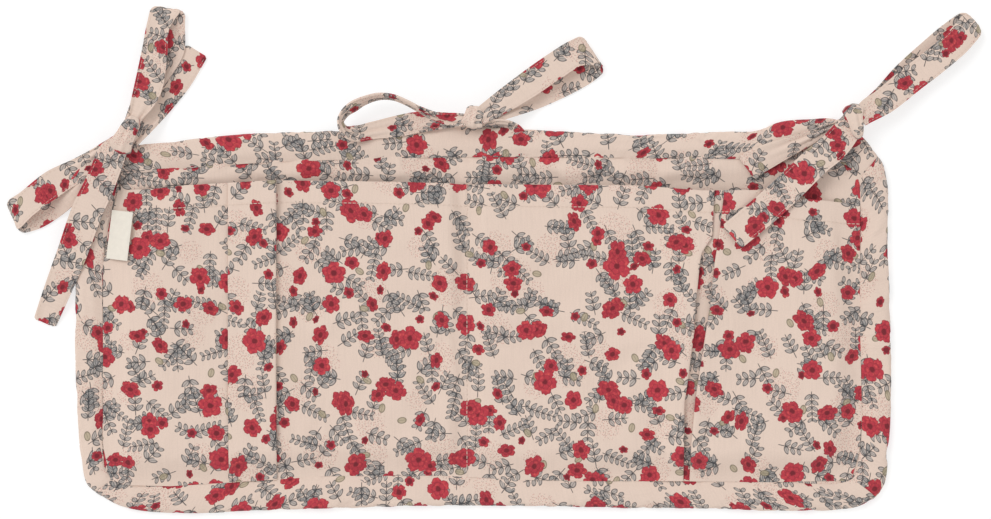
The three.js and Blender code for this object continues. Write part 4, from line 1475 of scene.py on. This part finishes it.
class CADDY_OT_stage(bpy.types.Operator):
    """Floor, lights, camera and the finishes"""

    bl_idname = "caddy.stage"
    bl_label = "Stage"

    def execute(self, context):
        settings = context.scene.caddy
        scene = context.scene
        scene.view_settings.view_transform = "Standard"
        make_finishes(settings)
        recipe = Recipe("white_floor")
        paper = recipe.node("BsdfDiffuse", None, {"Color": FLOOR_GREY})
        glow = recipe.node("Emission", None, {"Color": (1, 1, 1, 1), "Strength": FLOOR_GLOW})
        floor_look = recipe.node("AddShader", None, [paper, glow])
        mesh = bpy.data.meshes.new("floor")
        corners = [(-1, -1), (1, -1), (1, 1), (-1, 1)]
        points = [(x * FLOOR_REACH, y * FLOOR_REACH, FLOOR_LEVEL) for x, y in corners]
        mesh.from_pydata(points, [], [(0, 1, 2, 3)])
        mesh.materials.append(recipe.shown(floor_look))
        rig.stage(linked("floor", mesh))

        world = bpy.data.worlds.new("soft_white")
        world.use_nodes = True
        background = world.node_tree.nodes["Background"]
        background.inputs["Color"].default_value = SKY_COLOUR
        background.inputs["Strength"].default_value = settings.sky
        scene.world = world
        lamp = bpy.data.lights.new("lamp", "SUN")
        lamp.energy, lamp.angle = settings.lamp, math.radians(LAMP_ANGLE)
        turn = Vector(LAMP_WAY).to_track_quat("-Z", "Y")
        linked("lamp", lamp).rotation_euler = turn.to_euler()

        camera = bpy.data.cameras.new("camera")
        camera.sensor_width = SENSOR_WIDTH
        camera.lens = camera.sensor_width * CAMERA_DISTANCE / (IMAGE[0] * ACROSS * MM)
        camera.clip_end = CAMERA_REACH
        scene.camera = linked("camera", camera)
        x, y = place([IMAGE[0] / 2, IMAGE[1] / 2]) * MM
        scene.camera.location = (x, y, CAMERA_DISTANCE + SHARP_LEVEL)
        return {"FINISHED"}


# The panel's layers: how far each laps under the bound edge, and the crown below the band
INNER_LAP = 5
LINING_LAP = 4
PADDING_LEVEL = 2.85
PADDING_THICKNESS = 2.1
CROWN = 1.3
CROWN_PLACE = 9
CROWN_SPREAD = 6
LINING_PRINT_SHIFT = (411, 203)
LINING_DROP = 0.3
STRIP_SLOPE = 25
STRIP_REACH = 34
LEAST_LOOSE = 0.15


class CADDY_OT_inside(bpy.types.Operator):
    """Backing cloth, padding and front lining"""

    bl_idname = "caddy.inside"
    bl_label = "Backing, padding and lining"

    def execute(self, context):
        settings = context.scene.caddy
        x, y = interior_grid(60, 120, INNER_LAP)
        places = np.stack([x, y], -1)
        lower = BACK_LEVEL + 0.25 * creases(x / 60, y / 60, 21)
        backing = cloth_piece(
            "backing", np.stack([x, y, lower], -1), places,
            settings.cloth, finish_of("back_cotton"),
        )
        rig.slot(backing, "plain_cotton")
        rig.replaces(backing, "back_panel")
        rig.sheet(backing, **cut_of(places), held="laid", rests_on=["padding"])

        wadding = cloth_piece(
            "padding", np.stack([x, y, 0 * x + PADDING_LEVEL], -1), places,
            PADDING_THICKNESS, finish_of("fleece"),
        )
        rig.slot(wadding, "polyester_fleece")
        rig.replaces(wadding, "wadding")
        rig.padded(wadding, fill=0.3)

        grid = self.lining_grid()
        places = grid[..., :2] + LINING_PRINT_SHIFT
        self.settle_strip(grid)
        lining = cloth_piece(
            "lining", grid, places, settings.cloth, finish_of("floral_cotton")
        )
        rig.slot(lining, "printed_cotton")
        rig.replaces(lining, "front_lining")
        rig.sheet(lining, **cut_of(places), held="laid", rests_on=["padding"])
        return {"FINISHED"}

    def looseness(self, x, y, gap):
        """How free the lining is: 1 in the middle of its strip, 0 at its seams."""
        from_seam = np.minimum(x - left_seam(row_of(y)), right_seam(row_of(y)) - x)
        return smooth(from_seam / STRIP_SLOPE) * np.exp(-((gap / STRIP_REACH) ** 4))

    def lining_grid(self):
        """The lining, crowned and creased in the strip that the pockets leave open."""
        x, y = interior_grid(110, 240, LINING_LAP)
        gap = np.abs(band_seam(column_of(x)) - y)
        crown = CROWN * np.exp(-(((gap - CROWN_PLACE) / CROWN_SPREAD) ** 2))
        waves = 0.22 * creases(x / 40, y / 16, 23) + crown
        waves = waves + 0.5 * np.abs(bumps(x / 8, 0 * x, 25)) * np.exp(-gap / 9)
        waves = waves + 0.5 * bumps(x / 19 + y / 60, y / 30, 27) * smooth(gap / 6)
        free = LEAST_LOOSE + (1 - LEAST_LOOSE) * self.looseness(x, y, gap)
        return np.stack([x, y, LINING_LEVEL + waves * free], -1)

    def settle_strip(self, grid):
        """Lets the upper third of the lining settle between its seams."""
        strip = grid[len(grid) * 2 // 3:]
        x, y = strip[..., 0], strip[..., 1]
        gap = np.abs(band_seam(column_of(x)) - y)
        held = np.zeros(strip.shape[:2])
        held[[0, -1]] = 1
        held[:, [0, -1]] = 1
        sewn = int(np.argmax(strip[:, strip.shape[1] // 2, 1] > up(BAND_LOW_PIXEL)))
        held[sewn:] = 1
        moved = settled("lining", strip, held) - strip
        strip += moved * self.looseness(x, y, gap)[..., None]
        strip[..., 2] = np.maximum(strip[..., 2], LINING_LEVEL - LINING_DROP)


# The row of a binding's grid that its stitches follow
BINDING_STITCH_ROW = 3


class CADDY_OT_bindings(bpy.types.Operator):
    """Top band and bound borders, with their stitching"""

    bl_idname = "caddy.bindings"
    bl_label = "Band and borders"

    def execute(self, context):
        settings = context.scene.caddy
        for seed, name in enumerate(STRIPS, start=1):
            grid, places = binding_grid(name, seed)
            piece = cloth_piece(
                f"{name}_cloth", grid, places, settings.cloth, finish_of("floral_cotton")
            )
            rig.slot(piece, "printed_cotton")
            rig.replaces(piece, name)
            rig.sheet(piece, **cut_of(places), held="folded", rests_on=["padding"])
            out = grid_normals(grid)[BINDING_STITCH_ROW]
            line = grid[BINDING_STITCH_ROW] + out * settings.cloth / 2
            stitch_row(f"{name}_stitches", line, out)
        return {"FINISHED"}


class CADDY_OT_pockets(bpy.types.Operator):
    """Pleated pocket row, with its hem and seams"""

    bl_idname = "caddy.pockets"
    bl_label = "Pocket row"

    def execute(self, context):
        settings = context.scene.caddy
        grid, places = pocket_grid(settings)
        piece = cloth_piece(
            "pocket_cloth", grid, places, settings.cloth, finish_of("floral_cotton")
        )
        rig.slot(piece, "printed_cotton")
        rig.replaces(piece, "pocket_panel")
        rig.sheet(piece, **cut_of(places), held="gathered", rests_on=["lining"])
        normals = grid_normals(grid)
        above = grid + normals * settings.cloth / 2
        low, high = up(POCKET_ROW_PIXELS)
        shares = np.linspace(0, 1, len(grid))
        hem = np.argmin(np.abs(shares - (1 - settings.hem / (high - low))))
        stitch_row("hem_stitches", above[hem], normals[hem])
        centre = np.argmin(np.abs(grid[hem, :, 0] - across(CENTRE_SEAM_PIXEL)))
        stitch_row("centre_stitches", above[:, centre], normals[:, centre])
        return {"FINISHED"}


class CADDY_OT_ties(bpy.types.Operator):
    """Sewn bases, loops and ends of the three tape ties"""

    bl_idname = "caddy.ties"
    bl_label = "Tape ties"

    def execute(self, context):
        settings = context.scene.caddy
        for seed, (side, pixels) in enumerate(BASES.items(), start=3):
            grid, places = tape_grid(stations_of(pixels), settings, seed, BASE_LIMPNESS)
            name = f"{side}_tie_base"
            piece = tie_piece(f"{name}_tape", grid, places, settings, PANEL)
            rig.replaces(piece, name)
        for seed, (name, rows) in enumerate(ROUTES.items(), start=7):
            corner = LOOP_CORNER if name.endswith("loop") else END_CORNER
            grid, places = tape_grid(stations_of(rows), settings, seed, corner=corner)
            piece = tie_piece(f"{name}_tape", grid, places, settings, body_of_node(name))
            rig.replaces(piece, name)
        return {"FINISHED"}


KNOT_AROUND = 73
KNOT_COLUMNS = 33
KNOT_SINK = 0.25
KNOT_MARGIN = 0.2
KNOT_CROWN_SHARE = 0.30
KNOT_PRINT_SHIFT = (91, 47)

# Each knot's wrap: where it starts and ends over the knot, and half its width at both ends
WRAP_PIXELS = {
    "left": [(137, 117), (118, 153), 8, 12.5],
    "centre": [(476.5, 106.5), (470.5, 128.8), 8.8, 11.5],
    "right": [(850.5, 104.5), (858, 139.5), 10.8, 5.6],
}


class CADDY_OT_knots(bpy.types.Operator):
    """Knots of the three bows, each a tape wrapped round the others"""

    bl_idname = "caddy.knots"
    bl_label = "Knots"

    def execute(self, context):
        for seed, (side, (start, end, head, foot)) in enumerate(WRAP_PIXELS.items(), start=31):
            first, last = place(start), place(end)
            long_way = unit(last - first)
            wide_way = np.array([-long_way[1], long_way[0]])
            reach = np.linalg.norm(last - first) / 2
            around = np.linspace(0, 2 * np.pi, KNOT_AROUND)[:, None]
            w = np.linspace(-1, 1, KNOT_COLUMNS)[None, :]
            cosine, sine = np.cos(around), np.sin(around)
            flat_cosine = np.sign(cosine) * np.abs(cosine) ** 0.75
            flat_sine = np.sign(sine) * np.abs(sine) ** 0.6
            crown = 1 - KNOT_CROWN_SHARE * np.abs(w) ** 2.6
            folds = 0.5 * np.sin(w * 6.4 + 0.8 * cosine + seed)
            folds = folds + 0.25 * np.sin(w * 11 - cosine * 1.3)
            width = ((head + foot) / 2 + (foot - head) / 2 * cosine) * ACROSS
            along = flat_cosine * (reach + folds * 0.35) * crown
            across_it = w * width * (0.92 + 0.08 * np.abs(cosine))
            high = (KNOT_HEIGHT / 2 - KNOT_MARGIN) * crown
            lift = flat_sine * (high + folds * (0.5 + 0.4 * sine))
            grid = np.empty((*along.shape, 3))
            grid[..., :2] = (first + last) / 2 + long_way * along[..., None]
            grid[..., :2] += wide_way * across_it[..., None]
            grid[..., 2] = KNOT_LEVEL + lift
            places = np.empty((*along.shape, 2))
            places[..., 0] = around * (reach + KNOT_HEIGHT / 2) * 0.8
            places[..., 1] = w * width
            places += np.multiply(KNOT_PRINT_SHIFT, seed)
            self.knot(side, grid, places)
        return {"FINISHED"}

    def knot(self, side, grid, places):
        """A wrap that closes on itself, its ends filled by the cloth drawn through it."""
        grid = grid[:-1]
        rows, columns = grid.shape[:2]
        points = grid.reshape(-1, 3)
        faces = grid_quads(columns, rows, wrap=True)
        order = np.arange(rows * columns).reshape(rows, columns).T.ravel()
        faces = order[faces].tolist()
        core = points.mean(0)
        rims = []
        for column in (0, columns - 1):
            rim = np.arange(rows) * columns + column
            centre = points[rim].mean(0)
            centre = centre + (core - centre) * KNOT_SINK
            rims.append(centre)
            hub = rows * columns + len(rims) - 1
            for a, b in zip(rim, np.roll(rim, -1)):
                faces.append([a, b, hub] if column == 0 else [b, a, hub])
        cloth = np.zeros((rows * columns + 2, 3))
        cloth[:-2, :2] = places[:-1].reshape(-1, 2)
        cloth[-2:, :2] = cloth[:2, :2]
        piece = mesh_object(
            f"{side}_knot", np.vstack([points, rims]), faces, cloth, finish_of("floral_tape")
        )
        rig.slot(piece, "tape_cotton")
        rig.replaces(piece, f"{side}_tie_knot")


# The label: the ends of its seam, its sizes in millimetres, and how its two layers run
LABEL_SEAM_PIXELS = [(106, 258.4), (111.8, 209.8)]
LABEL_REACH = 16.3
LABEL_HALF = 18
LABEL_THICKNESS = 0.35
LABEL_TURN = 0.3
LABEL_LEVEL = 1.3
LABEL_RISE = 1.2
LABEL_GAP = 0.75
LABEL_FLAT = (0.036, 0.0326)
OUTWARD_SHARES = np.array(
    [0.02, 0.2, 0.4, 0.6, 0.8, 0.95, 1.0, 0.95, 0.8, 0.6, 0.4, 0.2, 0.02]
)
LAYER_SHARES = np.array([0, 0, 0, 0, 0, 0.1, 0.5, 0.9, 1, 1, 1, 1, 1])


class CADDY_OT_label(bpy.types.Operator):
    """Bare woven label, folded in the left seam"""

    bl_idname = "caddy.label"
    bl_label = "Label"

    def execute(self, context):
        settings = context.scene.caddy
        low, high = place(LABEL_SEAM_PIXELS)
        upward = unit(high - low)
        outward = np.array([upward[1], -upward[0]])
        middle = (low + high) / 2
        reach = OUTWARD_SHARES * LABEL_REACH
        s = np.linspace(-LABEL_HALF, LABEL_HALF, 2 * LABEL_HALF + 1)
        centre = middle + outward * reach[:, None]
        grid = np.empty((len(reach), len(s), 3))
        grid[..., :2] = centre[:, None, :] + upward * s[:, None]
        under = SEAM_LEVEL + pocket_rise(centre[:, 0], centre[:, 1], settings)
        level = under + LABEL_LEVEL + LABEL_RISE * OUTWARD_SHARES + LABEL_GAP * LAYER_SHARES
        curl = 0.25 * (s / LABEL_HALF) ** 2 * OUTWARD_SHARES[:, None]
        grid[..., 2] = level[:, None] + curl
        run = np.concatenate([[0], np.cumsum(np.abs(np.diff(reach)) + LABEL_TURN)])
        places = np.stack(np.broadcast_arrays(run[:, None], s[None, :]), -1)
        piece = cloth_piece(
            "label", grid, places, LABEL_THICKNESS, finish_of("label_satin"),
            body_of_node("woven_label"),
        )
        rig.slot(piece, "woven_satin")
        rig.replaces(piece, "woven_label")
        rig.sheet(piece, flat=LABEL_FLAT, held="folded", rests_on=["pocket_cloth"])
        return {"FINISHED"}


class CADDY_PT_panel(bpy.types.Panel):
    """Steps that build the caddy"""

    bl_idname = "CADDY_PT_panel"
    bl_label = "Bedside Caddy"
    bl_space_type = "VIEW_3D"
    bl_region_type = "UI"
    bl_category = "Caddy"

    def draw(self, context):
        for step in STEPS:
            self.layout.operator(step.bl_idname)
        for key in CaddySettings.__annotations__:
            self.layout.prop(context.scene.caddy, key)


STEPS = (
    CADDY_OT_stage, CADDY_OT_inside, CADDY_OT_bindings, CADDY_OT_pockets, CADDY_OT_ties,
    CADDY_OT_knots, CADDY_OT_label,
)


def register():
    """Adds the caddy's settings, steps and panel to Blender."""
    for part in (CaddySettings, *STEPS, CADDY_PT_panel):
        bpy.utils.register_class(part)
    bpy.types.Scene.caddy = PointerProperty(type=CaddySettings)


def unregister():
    """Takes them out again."""
    del bpy.types.Scene.caddy
    for part in (CADDY_PT_panel, *reversed(STEPS), CaddySettings):
        bpy.utils.unregister_class(part)


def main():
    """Builds the caddy step by step and writes down its size."""
    register()
    for step in STEPS:
        family, name = step.bl_idname.split(".")
        getattr(getattr(bpy.ops, family), name)()
    low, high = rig.bounds()
    sizes = {
        "cad": [list(frame_low), list(frame_high)],
        "visual": [list(low), list(high)],
    }
    with open("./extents.json", "w") as out:
        json.dump(sizes, out)


if __name__ == "__main__":
    main()
